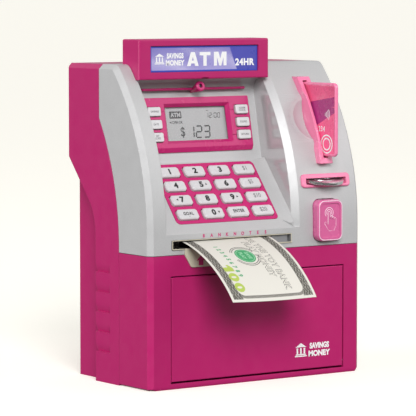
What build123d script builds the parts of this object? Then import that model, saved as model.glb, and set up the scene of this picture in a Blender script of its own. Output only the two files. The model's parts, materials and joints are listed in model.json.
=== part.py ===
from build123d import *
import math
import os

# Toy cash machine savings bank. Millimetres. X to the object's right as seen from the front,
# -Y towards the front, +Z up, with the origin on the floor under the body, FRONT_Y behind its face.

# ---------------------------------------------------------------- driving dimensions
BODY_W = 162.0            # overall width
BODY_D = 91.6             # overall depth of the body
BODY_H = 197.2            # top of the body, without the sign
WALL = 2.4                # wall of every moulded shell
GAP = 0.3                 # open seam between two shells
EDGE = 3.0                # flat chamfer on the outer edges
CLEAR = 0.35              # clearance round a part that moves

HALF_W = BODY_W / 2
FRONT_Y = -45.0
REAR_Y = FRONT_Y + BODY_D

SEAM_Z = 82.0             # silver above, magenta below
SEAM_Y = FRONT_Y + 33.6   # rear edge of the front shells, low down
SEAM_TOP_Y = FRONT_Y + 55.5
SEAM_BEND_Z = 86.0        # where the rear seam starts to lean back
SEAM_BEND_TOP_Z = 164.0
SEAM_R = 150.0

FRONT_R = 154.0           # radius of the convex front, tangent to the flat front at ARC_Z
ARC_Z = 95.0
ARC_CY = FRONT_Y + FRONT_R

CHEEK_Y = 15.2            # rear edge of the cheeks, low down
CHEEK_SLANT_Z = 140.0     # where the cheeks' full depth ends
CHEEK_CORNER_Z = 104.1
CHEEK_R = 32.0
LOWER_IN = 7.9            # the lower back is this much narrower on each side

RECESS_X0, RECESS_X1 = -69.0, 28.0     # side walls of the screen recess
RECESS_WALL = 2.6
RIM, RIM_DEPTH = 4.4, 3.0 # bevel along the right edge of the recess
SILL_Z = 94.7             # front lip where the keypad slope starts
KEY_SLOPE = 50.2          # keypad slope above the horizontal, degrees
SLOPE_LEN = 53.8
COVE_R = 5.0              # hollow corner between keypad slope and screen wall
SCREEN_SLOPE = 78.1       # screen slope above the horizontal, degrees
COVE_Z = 179.0            # where the screen wall starts to curve forward
SIGN_Z0, SIGN_Z1 = 187.7, 212.6
SIGN_Y0, SIGN_Y1 = -17.5, 1.3
SIGN_X0, SIGN_X1 = RECESS_X0 - 1.0, RECESS_X1 + 0.3

KEY_PITCH_X, KEY_PITCH_S = 19.0, 10.65
KEY_MID_X, KEY_MID_S = -18.85, 29.7
KEY_W, KEY_H, KEY_UP, KEY_CLIP = 15.2, 7.4, 2.0, 1.4
KEY_HIDDEN = 2.0          # how far a key reaches below the face
PLATE_W, PLATE_H, PLATE_T, PLATE_MID_S = 77.2, 45.0, 1.4, 29.8

SCREEN_X = -18.9          # middle of the screen bezel
BEZEL_W, BEZEL_T = 80.0, 2.6
BEZEL_S0, BEZEL_S1 = 6.0, 40.4         # heights along the screen slope
WINDOW_W, WINDOW_S0, WINDOW_S1 = 50.0, 11.5, 36.5
SOFT_X, SOFT_PITCH, SOFT_MID_S = 33.3, 8.05, 23.6
SOFT_W, SOFT_H, SOFT_UP = 9.6, 5.8, 1.7

NOTE_X0, NOTE_X1 = -64.9, 26.1
NOTE_Z0, NOTE_Z1 = 85.4, 91.2
BILL_X, BILL_W, BILL_T = -23.0, 65.5, 0.3

DOOR_X0, DOOR_X1 = -64.8, 66.8
DOOR_Z0, DOOR_Z1 = 4.6, 68.6
DOOR_GAP, DOOR_SILL_GAP = 0.7, 1.1
PIVOT_IN, PIVOT_UP = 2.0, 3.4          # hinge axis behind the door's face and above its lower edge
PIN_R = 1.0
BOLT_Y, BOLT_Z, BOLT_R = -36.0, 40.0, 1.5

CARD_X, CARD_T, CARD_L, CARD_H, CARD_Z0 = 54.1, 2.4, 72.0, 46.4, 138.2
CARD_FRONT_Y = -55.0
CARD_BEZEL_W, CARD_BEZEL_OUT, CARD_SLOT_W = 9.6, 4.6, 3.4
CARD_BEZEL_Z0, CARD_BEZEL_Z1 = 133.7, 187.8
DISH_R, DISH_DEPTH, DISH_Z = 15.6, 5.0, 161.5
DISH_RIM, DISH_RIM_DEPTH = 2.0, 0.9    # bevel round the dish

COIN_X, COIN_Z = 54.0, 123.0
COIN_R, COIN_T, COIN_TILT = 15.2, 2.0, 12.0
COIN_BEZEL_W, COIN_BEZEL_H, COIN_BEZEL_OUT = 38.0, 8.6, 1.6
COIN_SLOT_W, COIN_SLOT_H = 31.6, 4.2

TOUCH_X, TOUCH_Z, TOUCH_W, TOUCH_H, TOUCH_R, TOUCH_OUT = 53.0, 98.2, 19.6, 26.2, 4.5, 5.2

SCREWS = [(-62.0, 75.6), (62.0, 75.6), (-66.0, 183.0), (66.0, 183.0)]
BOSS_L = 8.0              # length of the bosses inside the rear wall

CELL_R, CELL_L, CELL_PITCH, CELL_Y, CELL_Z0 = 7.2, 49.0, 16.0, REAR_Y - 11.0, 103.0
BAY_X, BAY_Z0, BAY_Z1 = 26.0, 99.0, 156.0

ROLLER_Y, ROLLER_R, PINCH_R, SHAFT_R = -27.0, 4.0, 3.0, 1.2
GEAR_M, GEAR_N, PINION_N = 0.6, 24, 12


# ---------------------------------------------------------------- helpers
def front_y(z):
    """Y of the convex front at height z."""
    if z <= ARC_Z:
        return FRONT_Y
    return ARC_CY - math.sqrt(FRONT_R**2 - (z - ARC_Z)**2)


def arc_point(z, out=0.0):
    """Point (y, z) on the front arc's radius at height z, moved outwards by out."""
    angle = math.asin((z - ARC_Z) / FRONT_R)
    radius = FRONT_R + out
    return (ARC_CY - radius * math.cos(angle), ARC_Z + radius * math.sin(angle))


def front_plane(x, z):
    """Plane that touches the convex front at (x, z), with its normal pointing outwards."""
    angle = math.asin(max(0.0, z - ARC_Z) / FRONT_R)
    return Plane(origin=(x, front_y(z), z), x_dir=(1, 0, 0), z_dir=(0, -math.cos(angle), math.sin(angle)))


def slope_plane(y, z, degrees):
    """Plane through (y, z) that rises towards the rear, with its normal pointing outwards."""
    a = math.radians(degrees)
    return Plane(origin=(0, y, z), x_dir=(1, 0, 0), z_dir=(0, -math.sin(a), math.cos(a)))


def yz_plane(x):
    """Plane parallel to YZ at x: sketch x is +Y, sketch y is +Z."""
    return Plane(origin=(x, 0, 0), x_dir=(0, 1, 0), z_dir=(1, 0, 0))


def wall_plane(y):
    """Plane parallel to XZ at y: sketch x is +X, sketch y is +Z, normal towards the front."""
    return Plane(origin=(0, y, 0), x_dir=(1, 0, 0), z_dir=(0, -1, 0))


SLOPE_RAD = math.radians(KEY_SLOPE)
SCREEN_RAD = math.radians(SCREEN_SLOPE)
SCREEN_Y0 = FRONT_Y + SLOPE_LEN * math.cos(SLOPE_RAD)
SCREEN_Z0 = SILL_Z + SLOPE_LEN * math.sin(SLOPE_RAD)
COVE_Y = SCREEN_Y0 + (COVE_Z - SCREEN_Z0) / math.tan(SCREEN_RAD)
COVE_END = (-9.5, SIGN_Z0)
KEY_PLANE = slope_plane(FRONT_Y, SILL_Z, KEY_SLOPE)
WINDOW_MID_S = (WINDOW_S0 + WINDOW_S1) / 2
SCREEN_PLANE = slope_plane(SCREEN_Y0, SCREEN_Z0, SCREEN_SLOPE)
PIVOT_Y, PIVOT_Z = FRONT_Y + PIVOT_IN, DOOR_Z0 + PIVOT_UP
SEAM_MID_Z = (SEAM_BEND_Z + SEAM_BEND_TOP_Z) / 2


def seam_y(z, shift=0.0):
    """Y of the seam between the front shells and the rear housing."""
    lean = SEAM_R - math.sqrt(SEAM_R**2 - (z - SEAM_BEND_Z)**2)
    return SEAM_Y + lean + shift


def box(x0, x1, y0, y1, z0, z1, mode=Mode.ADD):
    """Box between two corners, added to or cut from the current part."""
    with Locations(((x0 + x1) / 2, (y0 + y1) / 2, (z0 + z1) / 2)):
        Box(x1 - x0, y1 - y0, z1 - z0, mode=mode)


def rod(x0, x1, y, z, radius, mode=Mode.ADD):
    """Cylinder along X."""
    with Locations(Location(((x0 + x1) / 2, y, z), (0, 90, 0))):
        Cylinder(radius, x1 - x0, mode=mode)


def plate(plane, x, s, width, height, radius, low, high, mode=Mode.ADD):
    """Rounded plate on a plane, from offset low to offset high along the normal."""
    with BuildSketch(plane.offset(low)) as outline:
        with Locations((x, s)):
            RectangleRounded(width, height, radius)
    extrude(outline.sketch, amount=high - low, mode=mode)


def post(x, z, y0):
    """Screw post along Y from y0 to just short of the rear bosses."""
    y1 = REAR_Y - BOSS_L - 0.1
    for radius, start, mode in ((3.4, y0, Mode.ADD), (1.52, y1 - 13, Mode.SUBTRACT)):
        with BuildSketch(wall_plane(y1)) as ring:
            with Locations((x, z)):
                Circle(radius)
        extrude(ring.sketch, amount=y1 - start, mode=mode)


def finish(part, name):
    """Label a finished part and write its file."""
    part.part.label = name
    export_step(part.part, f"parts/{name}.step")


# ---------------------------------------------------------------- profiles of the shells
def fascia_profile(shift, x=0.0):
    """Side view of the silver shell, moved inwards by shift at the front and top."""
    top = BODY_H - shift
    radius = FRONT_R - shift
    low = SEAM_Z + GAP
    rear = SEAM_TOP_Y if shift == 0 else SEAM_TOP_Y + 1.0
    back = SEAM_Y if shift == 0 else SEAM_Y + 1.0
    mid = (ARC_Z + top) / 2

    def face(z):
        return ARC_CY - math.sqrt(radius**2 - (z - ARC_Z)**2)

    with BuildSketch(yz_plane(x)) as profile:
        with BuildLine():
            Line((FRONT_Y + shift, low), (FRONT_Y + shift, ARC_Z))
            ThreePointArc((FRONT_Y + shift, ARC_Z), (face(mid), mid), (face(top), top))
            Polyline((face(top), top), (rear, top), (rear, SEAM_BEND_TOP_Z))
            ThreePointArc((rear, SEAM_BEND_TOP_Z),
                          (seam_y(SEAM_MID_Z, back - SEAM_Y), SEAM_MID_Z), (back, SEAM_BEND_Z))
            Polyline((back, SEAM_BEND_Z), (back, low), (FRONT_Y + shift, low))
        make_face()
        fillet([v for v in vertices() if abs(v.Y - top) < 0.1 and v.X < 2], radius=7 - shift)
    return profile.sketch


def rear_profile(shift, x=0.0):
    """Side view of the rear housing with its cheeks, moved inwards by shift."""
    top = BODY_H - shift
    rear = REAR_Y - shift
    low = -1.0 if shift else 0.0
    ahead = GAP if shift == 0 else -1.0
    slope = (CHEEK_SLANT_Z - CHEEK_CORNER_Z) / (REAR_Y - CHEEK_Y)
    corner_z = CHEEK_CORNER_Z + shift * 0.9
    with BuildSketch(yz_plane(x)) as profile:
        with BuildLine():
            Line((SEAM_Y + ahead, low), (SEAM_Y + ahead, SEAM_BEND_Z))
            ThreePointArc((SEAM_Y + ahead, SEAM_BEND_Z), (seam_y(SEAM_MID_Z, ahead), SEAM_MID_Z),
                          (SEAM_TOP_Y + ahead, SEAM_BEND_TOP_Z))
            Polyline((SEAM_TOP_Y + ahead, SEAM_BEND_TOP_Z), (SEAM_TOP_Y + ahead, top), (rear, top),
                     (rear, corner_z + slope * (rear - CHEEK_Y + shift)), (CHEEK_Y - shift, corner_z),
                     (CHEEK_Y - shift, low), (SEAM_Y + ahead, low))
        make_face()
        fillet([v for v in vertices() if abs(v.Y - corner_z) < 0.1], radius=CHEEK_R)
    return profile.sketch


def recess_profile(shift, x):
    """Side view of the space in front of keypad, screen and cove, grown to the rear by shift."""
    ahead = FRONT_Y - 8
    drop = shift / math.cos(SLOPE_RAD)
    back = shift / math.sin(SCREEN_RAD)
    kink_y = SCREEN_Y0 + shift * 0.95
    kink_z = SILL_Z - drop + (kink_y - FRONT_Y) * math.tan(SLOPE_RAD)
    cove_y = COVE_Y + back
    low_z = SILL_Z - drop - 8 * math.tan(SLOPE_RAD)
    end_y, end_z = COVE_END
    with BuildSketch(yz_plane(x)) as profile:
        with BuildLine():
            Polyline((ahead, low_z), (kink_y, kink_z), (cove_y, COVE_Z))
            ThreePointArc((cove_y, COVE_Z), (cove_y - 1.7, COVE_Z + 5.5),
                          (end_y + shift, end_z + shift * 0.3))
            Polyline((end_y + shift, end_z + shift * 0.3), (end_y + shift, BODY_H + 5),
                     (ahead, BODY_H + 5), (ahead, low_z))
        make_face()
        fillet([v for v in vertices() if abs(v.Y - kink_z) < 0.01], radius=COVE_R + shift)
    return profile.sketch


# ---------------------------------------------------------------- rear housing
def rear_housing():
    notch_h, notch_l, notch_deep = 5.4, 16.2, 1.7
    notch_pitch, notch_z0 = 12.42, 18.8
    switch_x, switch_z = 46.0, 150.0
    speaker_x, speaker_z = -48.0, 168.0
    lower_w = HALF_W - LOWER_IN

    with BuildPart() as housing:
        extrude(rear_profile(0.0), amount=HALF_W, both=True)
        top_edges = edges().filter_by(Axis.Y).group_by(Axis.Z)[-1]
        chamfer(top_edges, length=EDGE)
        box(-lower_w, lower_w, 0, REAR_Y, 0, CHEEK_SLANT_Z)
        low_edges = edges().filter_by(Axis.Z).group_by(Axis.Y)[-1]
        chamfer(low_edges, length=1.2)
        # hollow
        extrude(rear_profile(WALL), amount=HALF_W - WALL, both=True, mode=Mode.SUBTRACT)
        box(-lower_w + WALL, lower_w - WALL, -14, REAR_Y - WALL, -1, CHEEK_SLANT_Z + 4, Mode.SUBTRACT)
        # stepped finger notches on the rear edge of both cheeks
        for side in (-1, 1):
            for step in range(5):
                z = notch_z0 + step * notch_pitch
                with BuildSketch(Plane(origin=(side * HALF_W, CHEEK_Y, 0), x_dir=(1, 0, 0), z_dir=(0, 1, 0))):
                    with BuildLine():
                        Polyline((0, -z), (-side * notch_deep, -z), (0, -z - notch_h), (0, -z))
                    make_face()
                extrude(amount=-notch_l, mode=Mode.SUBTRACT)
        # battery bay
        box(-BAY_X - 1.6, BAY_X + 1.6, CELL_Y - CELL_R - 2.4, REAR_Y - 0.5, BAY_Z0 - 1.6, BAY_Z1 + 1.6)
        box(-BAY_X, BAY_X, CELL_Y - CELL_R - 0.8, REAR_Y + 1, BAY_Z0, BAY_Z1, Mode.SUBTRACT)
        # speaker grille
        with BuildSketch(wall_plane(REAR_Y + 1)):
            with Locations((speaker_x, speaker_z)):
                Circle(1.0)
                with PolarLocations(4.5, 6):
                    Circle(1.0)
                with PolarLocations(9.0, 12):
                    Circle(1.0)
        extrude(amount=WALL + 2, mode=Mode.SUBTRACT)
        # switch slot
        box(switch_x - 5.2, switch_x + 5.2, REAR_Y - 5, REAR_Y + 1,
            switch_z - 2.2, switch_z + 2.2, Mode.SUBTRACT)
        # screw bosses with counterbored holes
        for x, z in SCREWS:
            with Locations(Location((x, REAR_Y - BOSS_L / 2, z), (90, 0, 0))):
                Cylinder(4.2, BOSS_L)
        for x, z in SCREWS:
            with Locations(Location((x, REAR_Y - 4, z), (90, 0, 0))):
                Cylinder(1.6, 12, mode=Mode.SUBTRACT)
            with Locations(Location((x, REAR_Y - 1.5, z), (90, 0, 0))):
                Cylinder(3.2, 5, mode=Mode.SUBTRACT)
    finish(housing, "rear_housing")

    with BuildPart() as screws:
        for x, z in SCREWS:
            with Locations(Location((x, REAR_Y - 12, z), (90, 0, 0))):
                Cylinder(1.5, 16)
            with Locations(Location((x, REAR_Y - 3.2, z), (90, 0, 0))):
                Cylinder(2.9, 1.6)
            box(x - 2.2, x + 2.2, REAR_Y - 3.0, REAR_Y - 1, z - 0.4, z + 0.4, Mode.SUBTRACT)
            box(x - 0.4, x + 0.4, REAR_Y - 3.0, REAR_Y - 1, z - 2.2, z + 2.2, Mode.SUBTRACT)
    finish(screws, "housing_screws")

    with BuildPart() as cover:
        plate(wall_plane(REAR_Y), 0, (BAY_Z0 + BAY_Z1) / 2, 2 * BAY_X - 2 * CLEAR,
              BAY_Z1 - BAY_Z0 - 2 * CLEAR, 1.0, 0, 2.2)
        for row in range(5):
            z = BAY_Z1 - 6.0 - 2.4 * row
            box(-9, 9, REAR_Y - 0.7, REAR_Y + 1, z - 0.6, z + 0.6, Mode.SUBTRACT)
    finish(cover, "battery_cover")

    with BuildPart() as knob:
        box(switch_x - 4.8, switch_x - 0.8, REAR_Y - 4.4, REAR_Y + 0.9, switch_z - 1.8, switch_z + 1.8)
        box(switch_x - 7.0, switch_x + 1.4, REAR_Y - 5.6, REAR_Y - 4.4, switch_z - 3.4, switch_z + 3.4)
        for step in range(3):
            x = switch_x - 3.9 + 1.1 * step
            box(x - 0.25, x + 0.25, REAR_Y + 0.4, REAR_Y + 1.5, switch_z - 2, switch_z + 2, Mode.SUBTRACT)
    finish(knob, "power_switch")

    with BuildPart() as speaker:
        with Locations(Location((speaker_x, REAR_Y - WALL - 1.6, speaker_z), (90, 0, 0))):
            Cylinder(14.0, 3.0)
        with Locations(Location((speaker_x, REAR_Y - WALL - 4.6, speaker_z), (90, 0, 0))):
            Cone(14.0, 8.0, 3.2)
        with Locations(Location((speaker_x, REAR_Y - WALL - 8.0, speaker_z), (90, 0, 0))):
            Cylinder(8.0, 4.0)
    finish(speaker, "speaker")


# ---------------------------------------------------------------- battery
def battery():
    with BuildPart() as cells:
        for n in (-1, 0, 1):
            up = 1 if n else -1
            mid = CELL_Z0 + CELL_L / 2
            with Locations((n * CELL_PITCH, CELL_Y, mid)):
                Cylinder(CELL_R, CELL_L)
            with Locations((n * CELL_PITCH, CELL_Y, mid + up * (CELL_L / 2 + 0.5))):
                Cylinder(2.6, 1.0)
    finish(cells, "battery_cells")

    with BuildPart() as contacts:
        for n in (-1, 0, 1):
            x = n * CELL_PITCH
            nub_low, nub_high = (0.0, 1.0) if n else (1.0, 0.0)
            box(x - 5, x + 5, CELL_Y - 5, CELL_Y + 5, BAY_Z0, BAY_Z0 + 0.5)
            box(x - 5, x + 5, CELL_Y - 5, CELL_Y + 5, BAY_Z1 - 0.5, BAY_Z1)
            low = CELL_Z0 - nub_low
            high = CELL_Z0 + CELL_L + nub_high
            box(x - 2, x + 2, CELL_Y - 2, CELL_Y + 2, BAY_Z0, low)
            box(x - 2, x + 2, CELL_Y - 2, CELL_Y + 2, high, BAY_Z1)
    finish(contacts, "battery_contacts")


# ---------------------------------------------------------------- lower front, base and door
def lower_body():
    bevel = 2.2
    lug_z0, lug_z1, lug_y1 = 5.4, 10.6, -40.4
    keeper_y1 = BOLT_Y + 4.0

    with BuildPart() as panel:
        box(-HALF_W, HALF_W, FRONT_Y, SEAM_Y, 0, SEAM_Z)
        corner_edges = edges().filter_by(Axis.Z).group_by(Axis.Y)[0]
        chamfer(corner_edges, length=EDGE)
        foot_edges = edges().group_by(Axis.Z)[0].filter_by(lambda e: e.center().Y < SEAM_Y - 1)
        chamfer(foot_edges, length=bevel * 0.5, length2=bevel)
        box(-HALF_W + WALL, HALF_W - WALL, FRONT_Y + WALL, SEAM_Y + 1, -1, SEAM_Z + 1, Mode.SUBTRACT)
        box(DOOR_X0 - DOOR_GAP, DOOR_X1 + DOOR_GAP, FRONT_Y - 1, FRONT_Y + 5,
            DOOR_Z0 - DOOR_SILL_GAP, DOOR_Z1 + DOOR_GAP, Mode.SUBTRACT)
        # hinge lugs beside the lower corners of the opening
        box(DOOR_X0 - DOOR_GAP - 6, DOOR_X0 - DOOR_GAP, FRONT_Y + 1, lug_y1, lug_z0, lug_z1)
        box(DOOR_X1 + DOOR_GAP, DOOR_X1 + DOOR_GAP + 6, FRONT_Y + 1, lug_y1, lug_z0, lug_z1)
        rod(DOOR_X0 - 5, DOOR_X0, PIVOT_Y, PIVOT_Z, PIN_R, Mode.SUBTRACT)
        rod(DOOR_X1, DOOR_X1 + 5, PIVOT_Y, PIVOT_Z, PIN_R, Mode.SUBTRACT)
        # posts for the lower housing screws
        for x, z in SCREWS[:2]:
            post(x, z, FRONT_Y + 2)
    finish(panel, "front_panel")

    with BuildPart() as pins:
        rod(DOOR_X0 - 5, DOOR_X0 + 4, PIVOT_Y, PIVOT_Z, PIN_R)
        rod(DOOR_X1 - 4, DOOR_X1 + 5, PIVOT_Y, PIVOT_Z, PIN_R)
    finish(pins, "door_pins")

    with BuildPart() as base:
        inner = HALF_W - WALL - GAP
        lower = inner - LOWER_IN
        box(-inner, inner, lug_y1 + 0.8, CHEEK_Y - WALL - GAP, 0, WALL)
        box(-lower, lower, CHEEK_Y - WALL - GAP, REAR_Y - WALL - GAP, 0, WALL)
        for x in (-60, 60):
            box(x - 0.8, x + 0.8, -30, 10, WALL, WALL + 3)
    finish(base, "base_plate")

    with BuildPart() as door:
        box(DOOR_X0, DOOR_X1, FRONT_Y, FRONT_Y + WALL, DOOR_Z0, DOOR_Z1)
        face_edges = edges().group_by(Axis.Y)[0]
        chamfer(face_edges, length=0.4)
        box(DOOR_X0, DOOR_X1, FRONT_Y + 0.5, FRONT_Y + 4.0, DOOR_Z0, DOOR_Z0 + 6.4)
        for x in (DOOR_X0 + 8, DOOR_X1 - 12):
            box(x, x + 1.6, FRONT_Y + WALL, FRONT_Y + 4.0, DOOR_Z0 + 6, DOOR_Z1 - 4)
        # hooked keeper behind which the lock bolt slides
        box(60, 62, FRONT_Y + WALL, keeper_y1, 34, BOLT_Z - 2.4)
        box(60, 62, keeper_y1 - 1.6, keeper_y1, 34, BOLT_Z + 6)
        rod(DOOR_X0 - 1, DOOR_X0 + 4.4, PIVOT_Y, PIVOT_Z, PIN_R + 0.06, Mode.SUBTRACT)
        rod(DOOR_X1 - 4.4, DOOR_X1 + 1, PIVOT_Y, PIVOT_Z, PIN_R + 0.06, Mode.SUBTRACT)
    finish(door, "door")

    with BuildPart() as lock:
        box(69.4, 78.2, FRONT_Y + WALL, BOLT_Y + 8, BOLT_Z - 9, BOLT_Z + 9)
        rod(69, 77, BOLT_Y, BOLT_Z, BOLT_R + 0.06, Mode.SUBTRACT)
    finish(lock, "lock_drive")

    with BuildPart() as bolt:
        rod(64.0, 76.5, BOLT_Y, BOLT_Z, BOLT_R)
        chamfer(edges().group_by(Axis.X)[0], length=0.4)
    finish(bolt, "lock_bolt")


# ---------------------------------------------------------------- silver fascia
def on_front(p):
    """True for a point on the front or top outline of the silver shell, ahead of the rear seam."""
    if p.Z > SEAM_BEND_TOP_Z:
        return p.Y < SEAM_TOP_Y - 1
    return p.Y < seam_y(max(p.Z, SEAM_BEND_Z)) - 1


def card_outline(grow, plane):
    """Front view of the card slot surround, a bar with a slightly narrower waist."""
    half = CARD_BEZEL_W / 2 + grow
    waist = half - 1.2
    z0, z1 = CARD_BEZEL_Z0 - grow, CARD_BEZEL_Z1 + grow
    side = [(half, z0), (half, z0 + 9), (waist, z0 + 13), (waist, z1 - 13), (half, z1 - 9), (half, z1)]
    right = [(CARD_X + x, z) for x, z in side]
    left = [(CARD_X - x, z) for x, z in reversed(side)]
    with BuildSketch(plane) as outline:
        with BuildLine():
            Polyline(*right, *left, close=True)
        make_face()
        bends = [v for v in vertices() if z0 + 8 < v.Y < z1 - 8]
        fillet(bends, radius=4.0)
    return outline.sketch


def fascia():
    dish_ball = (DISH_R**2 + DISH_DEPTH**2) / (2 * DISH_DEPTH)
    dish_plane = front_plane(CARD_X, DISH_Z)
    dish_mid = dish_plane.origin + dish_plane.z_dir * (dish_ball - DISH_DEPTH)
    coin_plane = front_plane(COIN_X, COIN_Z)
    recess_w = RECESS_X1 - RECESS_X0
    inner_w = HALF_W - WALL
    slope_side = Plane(origin=KEY_PLANE.origin, x_dir=(1, 0, 0), z_dir=KEY_PLANE.y_dir)

    with BuildPart() as hollow:
        extrude(fascia_profile(WALL), amount=inner_w, both=True)
        box(-inner_w, inner_w, FRONT_Y + WALL, SEAM_Y + 1, SEAM_Z - 1, SEAM_Z + 1)
        grown_w = recess_w + 2 * RECESS_WALL + 1
        extrude(recess_profile(RECESS_WALL, RECESS_X0 - RECESS_WALL), amount=grown_w, mode=Mode.SUBTRACT)
        with Locations(dish_mid):
            Sphere(dish_ball + 2.0, mode=Mode.SUBTRACT)

    with BuildPart() as shell:
        extrude(fascia_profile(0.0), amount=HALF_W, both=True)
        side_edges = edges().filter_by(lambda e: abs(abs(e.center().X) - HALF_W) < 0.01)
        side_edges = side_edges.filter_by(lambda e: e.center().Z > SEAM_Z + 1)
        chamfer(side_edges.filter_by(lambda e: on_front(e.center())), length=EDGE)
        add(hollow.part, mode=Mode.SUBTRACT)
        extrude(recess_profile(0.0, RECESS_X0), amount=recess_w, mode=Mode.SUBTRACT)
        # sloping face between the keypad and the right wall, mitred at the lip
        with BuildSketch(slope_side) as wedge:
            with BuildLine():
                Polyline((20.6, 0), (RECESS_X1 + 0.5, 0), (RECESS_X1 + 0.5, -3.2), (20.6, 0))
            make_face()
        extrude(wedge.sketch, amount=SLOPE_LEN - 1)
        with BuildSketch(KEY_PLANE) as mitre:
            with BuildLine():
                Polyline((20.0, -6), (RECESS_X1, -6), (RECESS_X1, 0.3), (20.0, 7.2), (20.0, -6))
            make_face()
        extrude(mitre.sketch, amount=8, mode=Mode.SUBTRACT)
        box(RECESS_X1 - 9, RECESS_X1 + 1, FRONT_Y - 9, FRONT_Y, SILL_Z - 5, SILL_Z + 20, Mode.SUBTRACT)
        # pegs behind the slopes that carry the two boards
        for side in (-1, 1):
            for s in (PLATE_MID_S - 19.5, PLATE_MID_S + 19.0):
                plate(KEY_PLANE, KEY_MID_X + side * 39.4, s, 2.4, 2.4, 0.5, -5.6, -RECESS_WALL + 0.2)
            for s in (SOFT_MID_S - 14.8, SOFT_MID_S + 15.2):
                plate(SCREEN_PLANE, SCREEN_X + side * 20, s, 2.4, 2.4, 0.5, -4.6, -RECESS_WALL + 0.2)
        # bevel along the right edge of the recess
        with BuildSketch(Plane(origin=(0, ARC_CY, ARC_Z), x_dir=(1, 0, 0), z_dir=(0, 0, 1))) as rim:
            with BuildLine():
                far = RECESS_X1 + RIM * (RIM_DEPTH + 1) / RIM_DEPTH
                Polyline((RECESS_X1 - 0.5, -FRONT_R - 1), (far, -FRONT_R - 1), (RECESS_X1, RIM_DEPTH - FRONT_R),
                         (RECESS_X1 - 0.5, RIM_DEPTH - FRONT_R), (RECESS_X1 - 0.5, -FRONT_R - 1))
            make_face()
        revolve(rim.sketch, axis=Axis((0, ARC_CY, ARC_Z), (-1, 0, 0)), revolution_arc=60, mode=Mode.SUBTRACT)
        # seat of the sign
        box(SIGN_X0 - 0.1, SIGN_X1 + 0.1, SIGN_Y0, SIGN_Y1 + 0.1, SIGN_Z0 - 0.05, BODY_H + 5, Mode.SUBTRACT)
        # keypad seat and window
        seat_w, seat_h = PLATE_W + 0.2, PLATE_H + 0.2
        plate(KEY_PLANE, KEY_MID_X, PLATE_MID_S, seat_w, seat_h, 3.0, -PLATE_T, 3, Mode.SUBTRACT)
        plate(KEY_PLANE, KEY_MID_X, KEY_MID_S, 75.6, 42.4, 1.0, -8, 3, Mode.SUBTRACT)
        # display window and soft key slots
        plate(SCREEN_PLANE, SCREEN_X, WINDOW_MID_S, 52.0, 26.0, 0.5, -8, 3, Mode.SUBTRACT)
        for side in (-1, 1):
            plate(SCREEN_PLANE, SCREEN_X + side * SOFT_X, SOFT_MID_S, 11.6, 24.4, 0.5, -8, 3, Mode.SUBTRACT)
        # banknote slot
        box(NOTE_X0, NOTE_X1, FRONT_Y - 1, FRONT_Y + 8, NOTE_Z0, NOTE_Z1, Mode.SUBTRACT)
        # touch button
        plate(wall_plane(FRONT_Y), TOUCH_X, TOUCH_Z, TOUCH_W + 2 * CLEAR, TOUCH_H + 2 * CLEAR,
              TOUCH_R + CLEAR, -8, 3, Mode.SUBTRACT)
        # coin slot
        plate(coin_plane, 0, 0, COIN_BEZEL_W - 3.0, COIN_BEZEL_H - 2.4, 1.0, -8, 3, Mode.SUBTRACT)
        # thumb dish and card slot
        with Locations(dish_mid):
            Sphere(dish_ball, mode=Mode.SUBTRACT)
        spread = DISH_RIM / DISH_RIM_DEPTH
        with BuildSketch(dish_plane.offset(-DISH_RIM_DEPTH)) as dish_edge:
            Circle(DISH_R)
        with BuildSketch(dish_plane.offset(DISH_RIM_DEPTH)) as dish_mouth:
            Circle(DISH_R + 2 * DISH_RIM_DEPTH * spread)
        loft([dish_edge.sketch, dish_mouth.sketch], mode=Mode.SUBTRACT)
        extrude(card_outline(0.0, wall_plane(-70)), amount=-65, mode=Mode.SUBTRACT)
        # posts for the upper housing screws
        for (x, z), y0 in zip(SCREWS[2:], (-0.5, -13.0)):
            post(x, z, y0)
    finish(shell, "fascia")


# ---------------------------------------------------------------- sign
def sign():
    win_x0, win_x1, win_z0, win_z1 = SIGN_X0 + 8.6, SIGN_X1 - 7.9, 192.2, 208.4
    with BuildPart() as case:
        box(SIGN_X0, SIGN_X1, SIGN_Y0, SIGN_Y1, SIGN_Z0, SIGN_Z1)
        outer = edges().filter_by(lambda e: e.center().Z > SIGN_Z0 + 1 or e.center().Y < SIGN_Y0 + 1)
        fillet(outer, radius=1.0)
        box(win_x0, win_x1, SIGN_Y0 - 1, SIGN_Y0 + 1.8, win_z0, win_z1, Mode.SUBTRACT)
        box(SIGN_X0 + WALL, SIGN_X1 - WALL, SIGN_Y0 + 4.2, SIGN_Y1 - WALL, SIGN_Z0 - 1, SIGN_Z1 - WALL,
            Mode.SUBTRACT)
        middle = (RECESS_X0 + RECESS_X1) / 2
        box(middle - 2.4, middle + 2.4, SIGN_Y0 - 1, SIGN_Y0 + 2.4, SIGN_Z0 - 1, SIGN_Z0 + 0.9, Mode.SUBTRACT)
    finish(case, "sign_box")

    with BuildPart() as insert:
        box(win_x0 + 0.15, win_x1 - 0.15, SIGN_Y0 + 1.1, SIGN_Y0 + 1.8, win_z0 + 0.15, win_z1 - 0.15)
    finish(insert, "sign_insert")


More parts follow.
